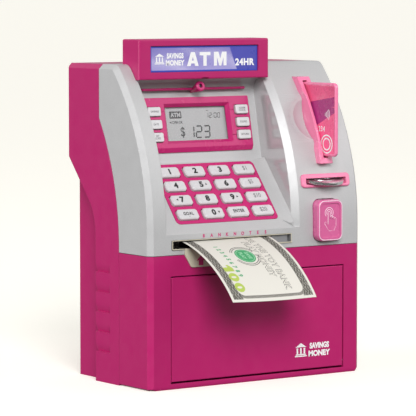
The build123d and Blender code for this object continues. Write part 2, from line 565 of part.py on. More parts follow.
# ---------------------------------------------------------------- display
def display():
    height = BEZEL_S1 - BEZEL_S0
    mid_s = (BEZEL_S0 + BEZEL_S1) / 2
    window_h = WINDOW_S1 - WINDOW_S0
    soft_rows = [SOFT_MID_S + n * SOFT_PITCH for n in (-1, 0, 1)]

    with BuildPart() as bezel:
        plate(SCREEN_PLANE, SCREEN_X, mid_s, BEZEL_W, height, 0.8, 0, BEZEL_T)
        # sloping lower edge
        with BuildSketch(yz_plane(SCREEN_X - BEZEL_W)) as wedge:
            with BuildLine():
                low = SCREEN_PLANE.from_local_coords((0, BEZEL_S0 - 0.1, 0.9))
                high = SCREEN_PLANE.from_local_coords((0, BEZEL_S0 + 2.8, BEZEL_T + 0.01))
                far = SCREEN_PLANE.from_local_coords((0, BEZEL_S0 - 0.1, BEZEL_T + 2))
                Polyline((low.Y, low.Z), (high.Y, high.Z), (far.Y, far.Z), (low.Y, low.Z))
            make_face()
        extrude(wedge.sketch, amount=2 * BEZEL_W, mode=Mode.SUBTRACT)
        # window with sloping reveals
        with BuildSketch(SCREEN_PLANE.offset(BEZEL_T)) as outer:
            with Locations((SCREEN_X, WINDOW_MID_S)):
                Rectangle(WINDOW_W, window_h)
        with BuildSketch(SCREEN_PLANE.offset(0.4)) as inner:
            with Locations((SCREEN_X, WINDOW_MID_S)):
                Rectangle(WINDOW_W - 4.4, window_h - 3.8)
        loft([outer.sketch, inner.sketch], mode=Mode.SUBTRACT)
        plate(SCREEN_PLANE, SCREEN_X, WINDOW_MID_S, WINDOW_W - 4.4, window_h - 3.8, 0.3, -1, 1, Mode.SUBTRACT)
        # thin lines from the outer soft keys to the window
        for side in (-1, 1):
            for row in (soft_rows[0], soft_rows[2]):
                groove_x = SCREEN_X + side * 26.5
                plate(SCREEN_PLANE, groove_x, row, 6.0, 0.5, 0.2, BEZEL_T - 0.35, 4, Mode.SUBTRACT)
            for row in soft_rows:
                plate(SCREEN_PLANE, SCREEN_X + side * SOFT_X, row, SOFT_W + 2 * CLEAR, SOFT_H + 2 * CLEAR,
                      1.4, -1, 4, Mode.SUBTRACT)
    finish(bezel, "screen_bezel")

    with BuildPart() as lens:
        plate(SCREEN_PLANE, SCREEN_X, WINDOW_MID_S, 51.6, 25.6, 0.4, -1.0, -0.1)
    finish(lens, "lcd_lens")

    with BuildPart() as panel:
        plate(SCREEN_PLANE, SCREEN_X, WINDOW_MID_S, 50.0, 24.6, 0.4, -3.4, -1.4)
    finish(panel, "lcd_panel")

    with BuildPart() as board:
        plate(SCREEN_PLANE, SCREEN_X, SOFT_MID_S, 80.0, 33.0, 1.0, -6.0, -4.6)
        plate(SCREEN_PLANE, SCREEN_X, WINDOW_MID_S, 44.0, 20.0, 0.5, -4.6, -3.4)
        plate(SCREEN_PLANE, SCREEN_X + 8, SOFT_MID_S, 14.0, 10.0, 0.5, -7.6, -6.0)
        plate(SCREEN_PLANE, SCREEN_X - 18, SOFT_MID_S + 6, 8.0, 8.0, 0.5, -7.2, -6.0)
    finish(board, "display_board")

    for side, word in ((-1, "left"), (1, "right")):
        for n, row in enumerate(reversed(soft_rows), start=1):
            x = SCREEN_X + side * SOFT_X
            with BuildPart() as key:
                plate(SCREEN_PLANE, x, row, SOFT_W, SOFT_H, 1.2, -0.4, BEZEL_T + SOFT_UP)
                top = BEZEL_T + SOFT_UP - 0.01
                rim = edges().filter_by(lambda e: SCREEN_PLANE.to_local_coords(e.center()).Z > top)
                fillet(rim, radius=0.6)
                plate(SCREEN_PLANE, x, row, 10.8, 6.8, 0.4, -1.4, -0.4)
                plate(SCREEN_PLANE, x, row, 3.0, 2.4, 0.4, -3.2, -1.4)
            finish(key, f"soft_key_{word}_{n}")


# ---------------------------------------------------------------- keypad
KEY_NAMES = [["goal", "0", "enter", "20_dollars"],
             ["7", "8", "9", "10_dollars"],
             ["4", "5", "6", "5_dollars"],
             ["1", "2", "3", "1_dollar"]]


def key_outline(plane, x, s, width, height, clip):
    """Key outline: a rectangle with its corners clipped."""
    with BuildSketch(plane) as outline:
        with Locations((x, s)):
            Rectangle(width, height)
        chamfer(vertices(), length=clip)
    return outline.sketch


def keypad():
    columns = [KEY_MID_X + (n - 1.5) * KEY_PITCH_X for n in range(4)]
    rows = [KEY_MID_S + (n - 1.5) * KEY_PITCH_S for n in range(4)]

    with BuildPart() as face:
        plate(KEY_PLANE, KEY_MID_X, PLATE_MID_S, PLATE_W, PLATE_H, 2.9, -PLATE_T, 0.15)
        for x in columns:
            for s in rows:
                below = KEY_PLANE.offset(-3)
                hole = key_outline(below, x, s, KEY_W + 2 * CLEAR, KEY_H + 2 * CLEAR, KEY_CLIP)
                extrude(hole, amount=5, mode=Mode.SUBTRACT)
    finish(face, "keypad_plate")

    for row, names in enumerate(KEY_NAMES):
        for column, name in enumerate(names):
            x, s = columns[column], rows[row]
            with BuildPart() as key:
                outline = key_outline(KEY_PLANE.offset(-KEY_HIDDEN), x, s, KEY_W, KEY_H, KEY_CLIP)
                extrude(outline, amount=KEY_HIDDEN + KEY_UP)
                rim = edges().filter_by(lambda e: KEY_PLANE.to_local_coords(e.center()).Z > KEY_UP - 0.01)
                chamfer(rim, length=0.7)
                plate(KEY_PLANE, x, s, KEY_W + 1.2, KEY_H + 1.2, 0.5, -2.8, -1.8)
                plate(KEY_PLANE, x, s, 5.0, 3.0, 0.5, -4.2, -2.8)
            finish(key, f"key_{name}")

    with BuildPart() as board:
        plate(KEY_PLANE, KEY_MID_X, PLATE_MID_S - 0.4, 82.0, 43.0, 1.0, -7.2, -5.6)
        for x in columns:
            for s in rows:
                plate(KEY_PLANE, x, s, 5.0, 3.0, 0.5, -5.6, -5.5)
    finish(board, "keypad_board")


# ---------------------------------------------------------------- camera bar
def camera():
    middle = (RECESS_X0 + RECESS_X1) / 2
    bar_y, bar_z = -5.0, 181.2
    aim = Plane(origin=(middle, -2.4, 179.6), x_dir=(1, 0, 0), z_dir=(0, -math.cos(0.35), math.sin(0.35)))
    with BuildPart() as pod:
        rod(middle - 39, middle + 39, bar_y, bar_z, 0.85)
        fillet(edges().filter_by(GeomType.CIRCLE), radius=0.6)
        for side in (-1, 1):
            with BuildSketch(wall_plane(bar_y)) as stub:
                with Locations((middle + side * 38, bar_z)):
                    Circle(0.8)
            extrude(stub.sketch, amount=-2.9)
        with BuildSketch(aim.offset(-0.4)) as tail:
            Circle(1.1)
        with BuildSketch(aim.offset(9.6)) as head:
            Circle(3.3)
        loft([tail.sketch, head.sketch])
        with BuildSketch(aim.offset(9.6)) as nose:
            Circle(3.3)
        extrude(nose.sketch, amount=1.4)
        front = edges().filter_by(lambda e: aim.to_local_coords(e.center()).Z > 10.9)
        fillet(front, radius=0.9)
        with BuildSketch(aim.offset(9.4)) as lens:
            Circle(1.3)
        extrude(lens.sketch, amount=3, mode=Mode.SUBTRACT)
    finish(pod, "camera_bar")


# ---------------------------------------------------------------- banknote slot, note and feeder
NOTE_PATH = [(-42.0, 90.2), (-66.0, 81.3), (-94.0, 57.2)]
NOTE_RISE = 0.2                        # the note rises this much per millimetre behind the slot
NOTE_END = (-22.5, 90.2 + 19.5 * NOTE_RISE)
NOTE_TILT = math.atan(NOTE_RISE)
NOTE_OVER_ROLLER = NOTE_PATH[0][1] + NOTE_RISE * (ROLLER_Y - NOTE_PATH[0][0])
DRIVE_Z = NOTE_OVER_ROLLER - (ROLLER_R + BILL_T / 2 + 0.3) / math.cos(NOTE_TILT)
PINCH_Z = NOTE_OVER_ROLLER + (PINCH_R + BILL_T / 2 + 0.3) / math.cos(NOTE_TILT)
PINION_Y = ROLLER_Y + GEAR_M * (GEAR_N + PINION_N) / 2
FRAME_X0, FRAME_X1, FRAME_T = -62.0, 16.0, 2.0
GEAR_X0, GEAR_X1 = 17.0, 20.0


def banknotes():
    lip_y = FRONT_Y - 0.9
    floor_z, roof_z = NOTE_Z0 + 0.6, NOTE_Z1 - 0.5
    with BuildPart() as guide:
        # tongue in front of the panel
        with BuildSketch(wall_plane(FRONT_Y - 0.1)) as tongue:
            with BuildLine():
                Polyline((BILL_X - 32.5, floor_z), (BILL_X - 32.5, 81.7), (BILL_X - 27.8, 74.2),
                         (BILL_X + 27.8, 74.2), (BILL_X + 32.5, 81.7), (BILL_X + 32.5, floor_z),
                         (BILL_X - 32.5, floor_z))
            make_face()
            fillet([v for v in vertices() if v.Y < 80], radius=2.0)
        extrude(tongue.sketch, amount=0.9)
        # floor, roof and ends of the slot
        box(NOTE_X0 + 0.2, NOTE_X1 - 0.2, lip_y, -36, NOTE_Z0 + 0.02, floor_z)
        box(NOTE_X0 + 0.2, NOTE_X1 - 0.2, FRONT_Y - 0.4, -42.2, roof_z, NOTE_Z1 - 0.02)
        box(NOTE_X0 + 0.2, NOTE_X0 + 0.8, FRONT_Y - 0.4, -38, NOTE_Z0 + 0.02, NOTE_Z1 - 0.02)
        box(NOTE_X1 - 0.8, NOTE_X1 - 0.2, FRONT_Y - 0.4, -38, NOTE_Z0 + 0.02, NOTE_Z1 - 0.02)
        # blanking wall that closes the unused right end of the slot
        box(BILL_X + BILL_W / 2 + 1.6, NOTE_X1 - 2.2, FRONT_Y + 1.4, FRONT_Y + 2.2,
            NOTE_Z0 + 0.1, NOTE_Z1 - 0.1)
    finish(guide, "note_guide")

    # the note lies in the slot, rises a little inwards and hangs down in front
    with BuildPart() as note:
        with BuildSketch(yz_plane(BILL_X - BILL_W / 2)) as strip:
            with BuildLine():
                Line(NOTE_END, NOTE_PATH[0])
                ThreePointArc(*NOTE_PATH)
            trace(line_width=BILL_T)
        extrude(strip.sketch, amount=BILL_W)
    finish(note, "banknote")


def gear_outline(plane, y, z, teeth, phase):
    """Side view of a small spur gear with straight-sided teeth."""
    pitch = 2 * math.pi / teeth
    radius = GEAR_M * teeth / 2
    root, tip = radius - 1.2 * GEAR_M, radius + 0.8 * GEAR_M
    points = []
    for n in range(teeth):
        for part, r in ((-0.25, root), (-0.10, tip), (0.10, tip), (0.25, root)):
            angle = phase + (n + part) * pitch
            points.append((y + r * math.cos(angle), z + r * math.sin(angle)))
    with BuildSketch(plane) as outline:
        with BuildLine():
            Polyline(*points, close=True)
        make_face()
    return outline.sketch


def feeder():
    with BuildPart() as frame:
        for x in (FRAME_X0, FRAME_X1 - FRAME_T):
            with BuildSketch(yz_plane(x)) as side:
                with BuildLine():
                    Polyline((-33.5, 82.4), (-9.5, 82.4), (-9.5, 95.5), (-20, 100.5), (-29.5, 100.5),
                             (-33.5, 96.0), (-33.5, 82.4))
                make_face()
            extrude(side.sketch, amount=FRAME_T)
        box(FRAME_X0, FRAME_X1, -33.5, -9.5, 82.4, 83.9)
        # arms to the inside of the front wall
        for x in (FRAME_X0, FRAME_X1 - 6):
            box(x, x + 6, FRONT_Y + WALL, -33, 82.4, 84.9)
        rod(FRAME_X0 - 1, FRAME_X1 + 1, ROLLER_Y, DRIVE_Z, SHAFT_R + 0.05, Mode.SUBTRACT)
        rod(FRAME_X0 - 1, FRAME_X1 + 1, ROLLER_Y, PINCH_Z, SHAFT_R + 0.05, Mode.SUBTRACT)
        rod(FRAME_X1 - 3, FRAME_X1 + 1, PINION_Y, DRIVE_Z, 2.2, Mode.SUBTRACT)
    finish(frame, "feeder_frame")

    with BuildPart() as drive:
        rod(FRAME_X0 - 1.2, GEAR_X1 + 0.8, ROLLER_Y, DRIVE_Z, SHAFT_R)
        for x in (-50, -8):
            rod(x, x + 12, ROLLER_Y, DRIVE_Z, ROLLER_R)
        gear = gear_outline(yz_plane(GEAR_X0), ROLLER_Y, DRIVE_Z, GEAR_N, 0.0)
        extrude(gear, amount=GEAR_X1 - GEAR_X0)
        rod(GEAR_X0 - 0.6, GEAR_X0, ROLLER_Y, DRIVE_Z, 2.6)
        rod(FRAME_X0 + FRAME_T + 0.4, FRAME_X0 + FRAME_T + 1.6, ROLLER_Y, DRIVE_Z, 2.2)
    finish(drive, "drive_roller")

    with BuildPart() as pinch:
        rod(FRAME_X0 - 1.2, FRAME_X1 + 0.7, ROLLER_Y, PINCH_Z, SHAFT_R)
        for x in (-50, -8):
            rod(x, x + 12, ROLLER_Y, PINCH_Z, PINCH_R)
        rod(FRAME_X0 + FRAME_T + 0.4, FRAME_X0 + FRAME_T + 1.6, ROLLER_Y, PINCH_Z, 2.2)
        rod(FRAME_X1 - FRAME_T - 1.6, FRAME_X1 - FRAME_T - 0.4, ROLLER_Y, PINCH_Z, 2.2)
    finish(pinch, "pinch_roller")

    with BuildPart() as motor:
        rod(FRAME_X1 - FRAME_T - 22, FRAME_X1 - FRAME_T, PINION_Y, DRIVE_Z, 4.6)
        chamfer(edges().filter_by(GeomType.CIRCLE), length=0.5)
        rod(FRAME_X1 - FRAME_T - 24, FRAME_X1 - FRAME_T - 22, PINION_Y, DRIVE_Z, 2.0)
        rod(FRAME_X1 - FRAME_T - 8, FRAME_X1, PINION_Y, DRIVE_Z, 0.95, Mode.SUBTRACT)
    finish(motor, "feed_motor")

    with BuildPart() as pinion:
        rod(FRAME_X1 - FRAME_T - 7.5, GEAR_X1 + 0.6, PINION_Y, DRIVE_Z, 0.9)
        gear = gear_outline(yz_plane(GEAR_X0), PINION_Y, DRIVE_Z, PINION_N, math.pi / PINION_N)
        extrude(gear, amount=GEAR_X1 - GEAR_X0)
        rod(GEAR_X0 - 0.6, GEAR_X0, PINION_Y, DRIVE_Z, 1.6)
    finish(pinion, "motor_pinion")


# ---------------------------------------------------------------- coin slot
def coins():
    tilt = math.radians(COIN_TILT)
    mouth = front_plane(COIN_X, COIN_Z)
    path = Plane(origin=mouth.origin, x_dir=(1, 0, 0), z_dir=(0, -math.cos(tilt), -math.sin(tilt)))
    centre = mouth.origin - path.z_dir * 5.3
    shaft_y, shaft_z = -10.0, 129.0
    chute_w = 17.6

    with BuildPart() as bezel:
        plate(mouth, 0, 0, COIN_BEZEL_W, COIN_BEZEL_H, 2.4, 0, COIN_BEZEL_OUT)
        front = edges().filter_by(lambda e: mouth.to_local_coords(e.center()).Z > COIN_BEZEL_OUT - 0.01)
        fillet(front, radius=0.9)
        plate(mouth, 0, 0, COIN_BEZEL_W - 3.1, COIN_BEZEL_H - 2.5, 0.9, -WALL, 0)
        plate(path, 0, 0, COIN_SLOT_W, COIN_SLOT_H - 0.4, 0.5, -9, 9, Mode.SUBTRACT)
    finish(bezel, "coin_bezel")

    with BuildPart() as coin:
        disc = Plane(origin=centre, x_dir=(1, 0, 0), z_dir=path.y_dir)
        with BuildSketch(disc.offset(-COIN_T / 2)) as blank:
            Circle(COIN_R)
        extrude(blank.sketch, amount=COIN_T)
        chamfer(edges().filter_by(GeomType.CIRCLE), length=0.3)
        for face_z in (COIN_T / 2 - 0.25, -COIN_T / 2 - 1):
            with BuildSketch(disc.offset(face_z)) as field:
                Circle(COIN_R - 1.8)
            extrude(field.sketch, amount=1.25, mode=Mode.SUBTRACT)
    finish(coin, "coin")

    with BuildPart() as chute:
        box(COIN_X - chute_w, COIN_X + chute_w, FRONT_Y, 8, 112, 133)
        box(COIN_X - chute_w, COIN_X + chute_w, -14, 8, 84, 113)
        extrude(fascia_profile(WALL + 0.05), amount=HALF_W, both=True, mode=Mode.INTERSECT)
        with BuildSketch(yz_plane(COIN_X - chute_w + 1.6)) as inside:
            with BuildLine():
                Polyline((-50, 131.4), (6.4, 131.4), (6.4, 80), (-12.4, 80), (-12.4, 113.6), (-50, 119.6),
                         (-50, 131.4))
            make_face()
        extrude(inside.sketch, amount=2 * chute_w - 3.2, mode=Mode.SUBTRACT)
        rod(COIN_X - 20, COIN_X + 20, shaft_y, shaft_z, 1.05, Mode.SUBTRACT)
    finish(chute, "coin_chute")

    with BuildPart() as lever:
        rod(COIN_X - chute_w - 0.6, COIN_X + chute_w + 0.6, shaft_y, shaft_z, 1.0)
        rod(COIN_X - 6, COIN_X + 6, shaft_y, shaft_z, 1.6)
        box(COIN_X - 5, COIN_X + 5, shaft_y - 0.6, shaft_y + 0.6, shaft_z - 10, shaft_z)
    finish(lever, "coin_lever")


# ---------------------------------------------------------------- card slot
def cards():
    slot = (CARD_X - CARD_SLOT_W / 2, CARD_X + CARD_SLOT_W / 2)
    z0, z1 = CARD_Z0 - 0.8, CARD_Z0 + CARD_H + 0.8
    inner_r = FRONT_R - 5

    with BuildPart() as bezel:
        extrude(card_outline(0.0, wall_plane(-70)), amount=-75)
        rod(0, HALF_W, ARC_CY, ARC_Z, FRONT_R + CARD_BEZEL_OUT, Mode.INTERSECT)
        rod(0, HALF_W, ARC_CY, ARC_Z, inner_r, Mode.SUBTRACT)
        box(*slot, -80, 30, z0, z1, Mode.SUBTRACT)
    finish(bezel, "card_bezel")

    with BuildPart() as reader:
        box(CARD_X - 3.5, CARD_X + 3.5, -50, 20, CARD_BEZEL_Z0 + 1.3, CARD_BEZEL_Z1 - 0.8)
        rod(0, HALF_W, ARC_CY, ARC_Z, inner_r, Mode.INTERSECT)
        box(*slot, -80, 18, z0, z1, Mode.SUBTRACT)
        box(CARD_X - 3.5, CARD_X + 9, 6, 16, 150, 172)
        box(*slot, -80, 18, z0, z1, Mode.SUBTRACT)
    finish(reader, "card_reader")

    with BuildPart() as card:
        y1 = CARD_FRONT_Y + CARD_L
        box(CARD_X - CARD_T / 2, CARD_X + CARD_T / 2, CARD_FRONT_Y, y1, CARD_Z0, CARD_Z0 + CARD_H)
        fillet(edges().filter_by(Axis.X), radius=3.0)
        sides = faces().filter_by(Axis.X).edges()
        fillet(sides, radius=0.7)
    finish(card, "card")


# ---------------------------------------------------------------- touch button
def touch():
    outer = FRONT_Y - TOUCH_OUT
    flange_y = -41.1
    with BuildPart() as button:
        plate(wall_plane(flange_y), TOUCH_X, TOUCH_Z, TOUCH_W, TOUCH_H, TOUCH_R, 0, flange_y - outer)
        front = edges().group_by(Axis.Y)[0]
        fillet(front, radius=1.6)
        plate(wall_plane(flange_y), TOUCH_X, TOUCH_Z, TOUCH_W + 3, TOUCH_H - 0.4, TOUCH_R, -1.0, 0)
        # shallow dished pad inside a raised rim
        plate(wall_plane(outer), TOUCH_X, TOUCH_Z, TOUCH_W - 5.0, TOUCH_H - 5.0, 2.4, -0.5, 1, Mode.SUBTRACT)
    finish(button, "touch_button")


if __name__ == "__main__":
    os.makedirs("parts", exist_ok=True)
    rear_housing()
    battery()
    lower_body()
    fascia()
    sign()
    display()
    keypad()
    camera()
    banknotes()
    feeder()
    coins()
    cards()
    touch()
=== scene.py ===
"""Looks for the toy cash machine savings bank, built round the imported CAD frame. Metres."""
import json
import math

import bmesh
import bpy
from mathutils import Matrix, Vector


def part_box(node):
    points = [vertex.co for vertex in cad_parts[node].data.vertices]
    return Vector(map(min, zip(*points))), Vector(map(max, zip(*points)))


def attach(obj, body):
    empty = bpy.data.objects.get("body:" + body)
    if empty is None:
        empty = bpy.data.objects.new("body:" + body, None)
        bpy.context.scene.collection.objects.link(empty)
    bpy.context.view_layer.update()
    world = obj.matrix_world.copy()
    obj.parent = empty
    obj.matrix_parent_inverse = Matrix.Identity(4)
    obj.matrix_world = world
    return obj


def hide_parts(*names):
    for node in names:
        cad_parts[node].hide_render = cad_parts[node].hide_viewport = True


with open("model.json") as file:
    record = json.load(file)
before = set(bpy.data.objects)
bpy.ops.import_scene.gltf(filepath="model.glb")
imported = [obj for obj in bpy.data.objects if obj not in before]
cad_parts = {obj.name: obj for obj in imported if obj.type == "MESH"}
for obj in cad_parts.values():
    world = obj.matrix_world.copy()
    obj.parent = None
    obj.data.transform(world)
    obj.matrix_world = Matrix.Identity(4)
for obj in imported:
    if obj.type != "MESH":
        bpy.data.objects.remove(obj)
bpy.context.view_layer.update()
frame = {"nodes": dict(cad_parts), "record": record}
nodes = frame["nodes"]
BODIES = frame["record"]["behaviour"]["bodies"]
BODY_OF = {node: body for body, members in BODIES.items() for node in members}
SLOT_OF = {row["node"]: row["material_slot"] for row in frame["record"]["subparts"]}
MM = 0.001
X, Y, Z = Vector((1, 0, 0)), Vector((0, 1, 0)), Vector((0, 0, 1))

# Colours, linear
MAGENTA = (0.45, 0.010, 0.128)
PINK = (0.52, 0.020, 0.155)
LIGHT_PINK = (0.88, 0.22, 0.40)
MID_PINK = (0.66, 0.13, 0.32)
SILVER = (0.51, 0.51, 0.515)
WHITE = (0.63, 0.62, 0.635)
FLOOR_COLOUR = (0.80, 0.786, 0.731)
FLOOR_GLOW_COLOUR = (1.0, 0.982, 0.913, 1.0)
FLOOR_GLOW = 0.39


# ---- materials
class Signal:
    """A value in a look's node graph; sums and products of it become Math nodes."""

    def __init__(self, look, socket):
        self.look = look
        self.socket = socket

    def __add__(self, other):
        return self.look.math("ADD", self, other)

    def __sub__(self, other):
        return self.look.math("SUBTRACT", self, other)

    def __rsub__(self, other):
        return self.look.math("SUBTRACT", other, self)

    def __mul__(self, other):
        return self.look.math("MULTIPLY", self, other)

    def __truediv__(self, other):
        return self.look.math("DIVIDE", self, other)

    def __abs__(self):
        return self.look.math("ABSOLUTE", self)


MATERIALS = {}


class Look:
    """A principled material whose node graph is put together call by call."""

    def __init__(self, name, rough=0.4, metal=0.0, coat=0.0):
        mat = bpy.data.materials.new(name)
        MATERIALS[name] = mat
        mat.use_nodes = True
        self.tree = mat.node_tree
        self.tree.nodes.clear()
        out = self.node("OutputMaterial")
        bsdf = self.node("BsdfPrincipled")
        self.tree.links.new(bsdf.outputs[0], out.inputs[0])
        self.inputs = bsdf.inputs
        self.set("Roughness", rough)
        self.set("Metallic", metal)
        self.set("Coat Weight", coat)
        self.set("Coat Roughness", 0.12)

    def node(self, kind, **settings):
        made = self.tree.nodes.new("ShaderNode" + kind)
        for key, value in settings.items():
            setattr(made, key, value)
        return made

    def feed(self, socket, value):
        """Links a socket, or sets a number or colour."""
        if isinstance(value, Signal):
            self.tree.links.new(value.socket, socket)
        elif isinstance(value, tuple) and len(value) == 3 and socket.type == "RGBA":
            socket.default_value = (*value, 1.0)
        else:
            socket.default_value = value

    def set(self, name, value):
        """Feeds one of the shader's own sockets."""
        self.feed(self.inputs[name], value)

    def place(self, kind="Object"):
        return Signal(self, self.node("TexCoord").outputs[kind])

    def axis(self, source, letter):
        made = self.node("SeparateXYZ")
        self.feed(made.inputs[0], source)
        return Signal(self, made.outputs[letter])

    def noise(self, scale, detail=2.0, squash=None):
        made = self.node("TexNoise")
        made.inputs["Scale"].default_value = scale
        made.inputs["Detail"].default_value = detail
        where = self.place()
        if squash:
            mapped = self.node("Mapping")
            mapped.inputs["Scale"].default_value = squash
            self.feed(mapped.inputs[0], where)
            where = Signal(self, mapped.outputs[0])
        self.feed(made.inputs["Vector"], where)
        return Signal(self, made.outputs["Fac"])

    def cells(self, scale, place, **settings):
        made = self.node("TexVoronoi", **settings)
        made.inputs["Scale"].default_value = scale
        self.feed(made.inputs["Vector"], place)
        return Signal(self, made.outputs["Distance"])

    def math(self, operation, a, b=0.0):
        made = self.node("Math", operation=operation)
        self.feed(made.inputs[0], a)
        self.feed(made.inputs[1], b)
        return Signal(self, made.outputs[0])

    def sine(self, value):
        return self.math("SINE", value)

    def least(self, a, b):
        return self.math("MINIMUM", a, b)

    def most(self, a, b):
        return self.math("MAXIMUM", a, b)

    def fit(self, value, low, high, to_low=0.0, to_high=1.0):
        made = self.node("MapRange")
        for socket, number in zip(made.inputs, (value, low, high, to_low, to_high)):
            self.feed(socket, number)
        return Signal(self, made.outputs[0])

    def mix(self, amount, first, second):
        made = self.node("Mix", data_type="RGBA")
        self.feed(made.inputs[0], amount)
        self.feed(made.inputs[6], first)
        self.feed(made.inputs[7], second)
        return Signal(self, made.outputs[2])

    def bump(self, height, strength, distance, edge=0.0):
        """Relief from a height, with edges rounded by some millimetres."""
        made = self.node("Bump")
        if edge:
            rounding = self.node("Bevel", samples=4)
            rounding.inputs["Radius"].default_value = edge * MM
            self.tree.links.new(rounding.outputs[0], made.inputs["Normal"])
        made.inputs["Strength"].default_value = strength
        made.inputs["Distance"].default_value = distance
        self.feed(made.inputs["Height"], height)
        self.tree.links.new(made.outputs[0], self.inputs["Normal"])

    def colour(self, value):
        self.set("Base Color", value)

    def rough(self, value):
        self.set("Roughness", value)


def toned(colour, factor):
    return tuple(min(1.0, part * factor) for part in colour)


def moulded(name, colour, rough=0.38, tone=0.07, grain=2600.0, grain_tone=0.04, depth=3e-5,
            coat=0.0, edge=0.4, shine=0.5):
    """Injection-moulded plastic: faint flow mottling, fine mould grain, uneven gloss."""
    look = Look(name, coat=coat)
    flow = look.noise(38.0, 3.0)
    fine = look.noise(grain)
    shade = look.mix(flow, toned(colour, 1 - tone), toned(colour, 1 + tone))
    speck = look.mix(fine, toned(colour, 1 - 3 * grain_tone), toned(colour, 1 + 3 * grain_tone))
    look.colour(look.mix(0.5, shade, speck))
    look.gloss = look.fit(look.noise(150.0), 0.3, 0.7, rough - 0.05, rough + 0.05)
    look.rough(look.gloss)
    look.bump(fine, 0.35, depth, edge)
    look.set("Specular IOR Level", shine)
    return look


def shell_silver():
    """Silver-grey shell: fine flake in the flat panels, polished right wall in the recess."""
    look = moulded("silver_shell", SILVER, 0.42, 0.04, 2300.0, 0.07)
    place = look.place()
    x = look.axis(place, "X")
    y = look.axis(place, "Y")
    side = look.axis(look.place("Normal"), "X")
    wall = look.fit(side, -0.8, -0.95) * look.fit(x, 0.0265, 0.0275)
    wall = wall * look.fit(x, 0.0295, 0.0285) * look.fit(y, 0.02, 0.015)
    look.rough(look.fit(wall, 0.0, 1.0, look.gloss, 0.07))
    look.set("Metallic", 0.18)


def simple_metal(name, colour, rough=0.28):
    """Bright drawn or stamped metal with fine streaks."""
    look = Look(name, metal=1.0)
    streak = look.noise(900.0, 3.0, squash=(0.06, 1.0, 1.0))
    look.colour(look.mix(streak, toned(colour, 0.8), toned(colour, 1.1)))
    look.rough(look.fit(streak, 0.3, 0.7, rough - 0.07, rough + 0.1))
    look.bump(streak, 0.2, 2e-5)


def ink(name, colour, rough=0.45):
    """Screen-printed ink with a little unevenness in its density."""
    look = Look(name)
    patch = look.noise(1800.0, 3.0)
    look.colour(look.mix(patch, toned(colour, 0.86), toned(colour, 1.1)))
    look.rough(look.fit(patch, 0.3, 0.7, rough - 0.06, rough + 0.08))
    look.bump(patch, 0.2, 1e-5)


def board_green():
    """Solder mask with copper tracks showing faintly through it."""
    look = Look("board_green")
    cells = look.cells(260.0, look.place(), feature="DISTANCE_TO_EDGE", distance="MANHATTAN")
    track = look.fit(cells, 0.02, 0.06, 1.0, 0.0)
    look.colour(look.mix(track, (0.010, 0.075, 0.022), (0.035, 0.17, 0.055)))
    look.rough(look.fit(track, 0.0, 1.0, 0.32, 0.24))
    look.bump(track, 0.5, 4e-5)


def window_glass():
    """Clear flat window that mostly lets the panel behind it show."""
    look = Look("lcd_glass")
    smear = look.noise(90.0, 3.0)
    look.colour(look.mix(smear, (0.80, 0.83, 0.84), (0.90, 0.92, 0.92)))
    look.set("Alpha", 0.05)
    look.rough(look.fit(smear, 0.4, 0.7, 0.03, 0.08))


def lcd_grey():
    """Reflective liquid-crystal panel with a faint fine texture."""
    look = Look("lcd_grey", rough=0.30)
    patch = look.noise(45.0)
    fine = look.noise(5200.0, 1.0)
    base = look.mix(patch, (0.36, 0.365, 0.37), (0.41, 0.415, 0.42))
    look.colour(look.mix(look.fit(fine, 0.35, 0.65, 0.0, 0.25), base, (0.33, 0.34, 0.345)))
    look.bump(fine, 0.15, 1e-5)


def sign_print():
    """Printed sign: blue rim, lavender field with waves of fine dots, darker corner."""
    low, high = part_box("sign_insert")
    look = Look("sign_print", coat=0.3)
    place = look.place()
    x = look.axis(place, "X") * 1000.0
    z = look.axis(place, "Z") * 1000.0
    left, right, bottom, top = low.x / MM, high.x / MM, low.z / MM, high.z / MM
    across = look.least(x - left, right - x)
    upward = look.least(z - bottom, top - z)
    rim = look.fit(look.least(across, upward), 0.95, 1.15, 1.0, 0.0)
    # dots on wavy rows
    wave = look.sine(x * 0.17) * 1.5
    row = z + wave
    pitch = 0.62
    cell_x = look.math("FRACT", x / pitch) - 0.5
    cell_z = look.math("FRACT", row / pitch) - 0.5
    squared = cell_x * cell_x + cell_z * cell_z
    height = (row - bottom) / (top - bottom)
    swell = look.sine(x * 0.11 + row * 0.45)
    radius = look.fit(swell + height * -0.8, -1.4, 1.0, 0.05, 0.42)
    dot = look.fit(look.math("SQRT", squared) - radius, -0.08, 0.08, 1.0, 0.0)
    field = look.mix(height, (0.36, 0.33, 0.66), (0.22, 0.20, 0.52))
    field = look.mix(dot * 0.75, field, (0.68, 0.67, 0.86))
    edge = x + z * 0.55 - (right - 23.0 + 0.55 * top)
    corner = look.fit(edge + wave * 1.6, 0.0, 1.2)
    field = look.mix(corner, field, (0.075, 0.08, 0.42))
    look.colour(look.mix(rim, field, (0.045, 0.065, 0.44)))
    look.rough(look.fit(look.noise(200.0), 0.3, 0.7, 0.26, 0.36))


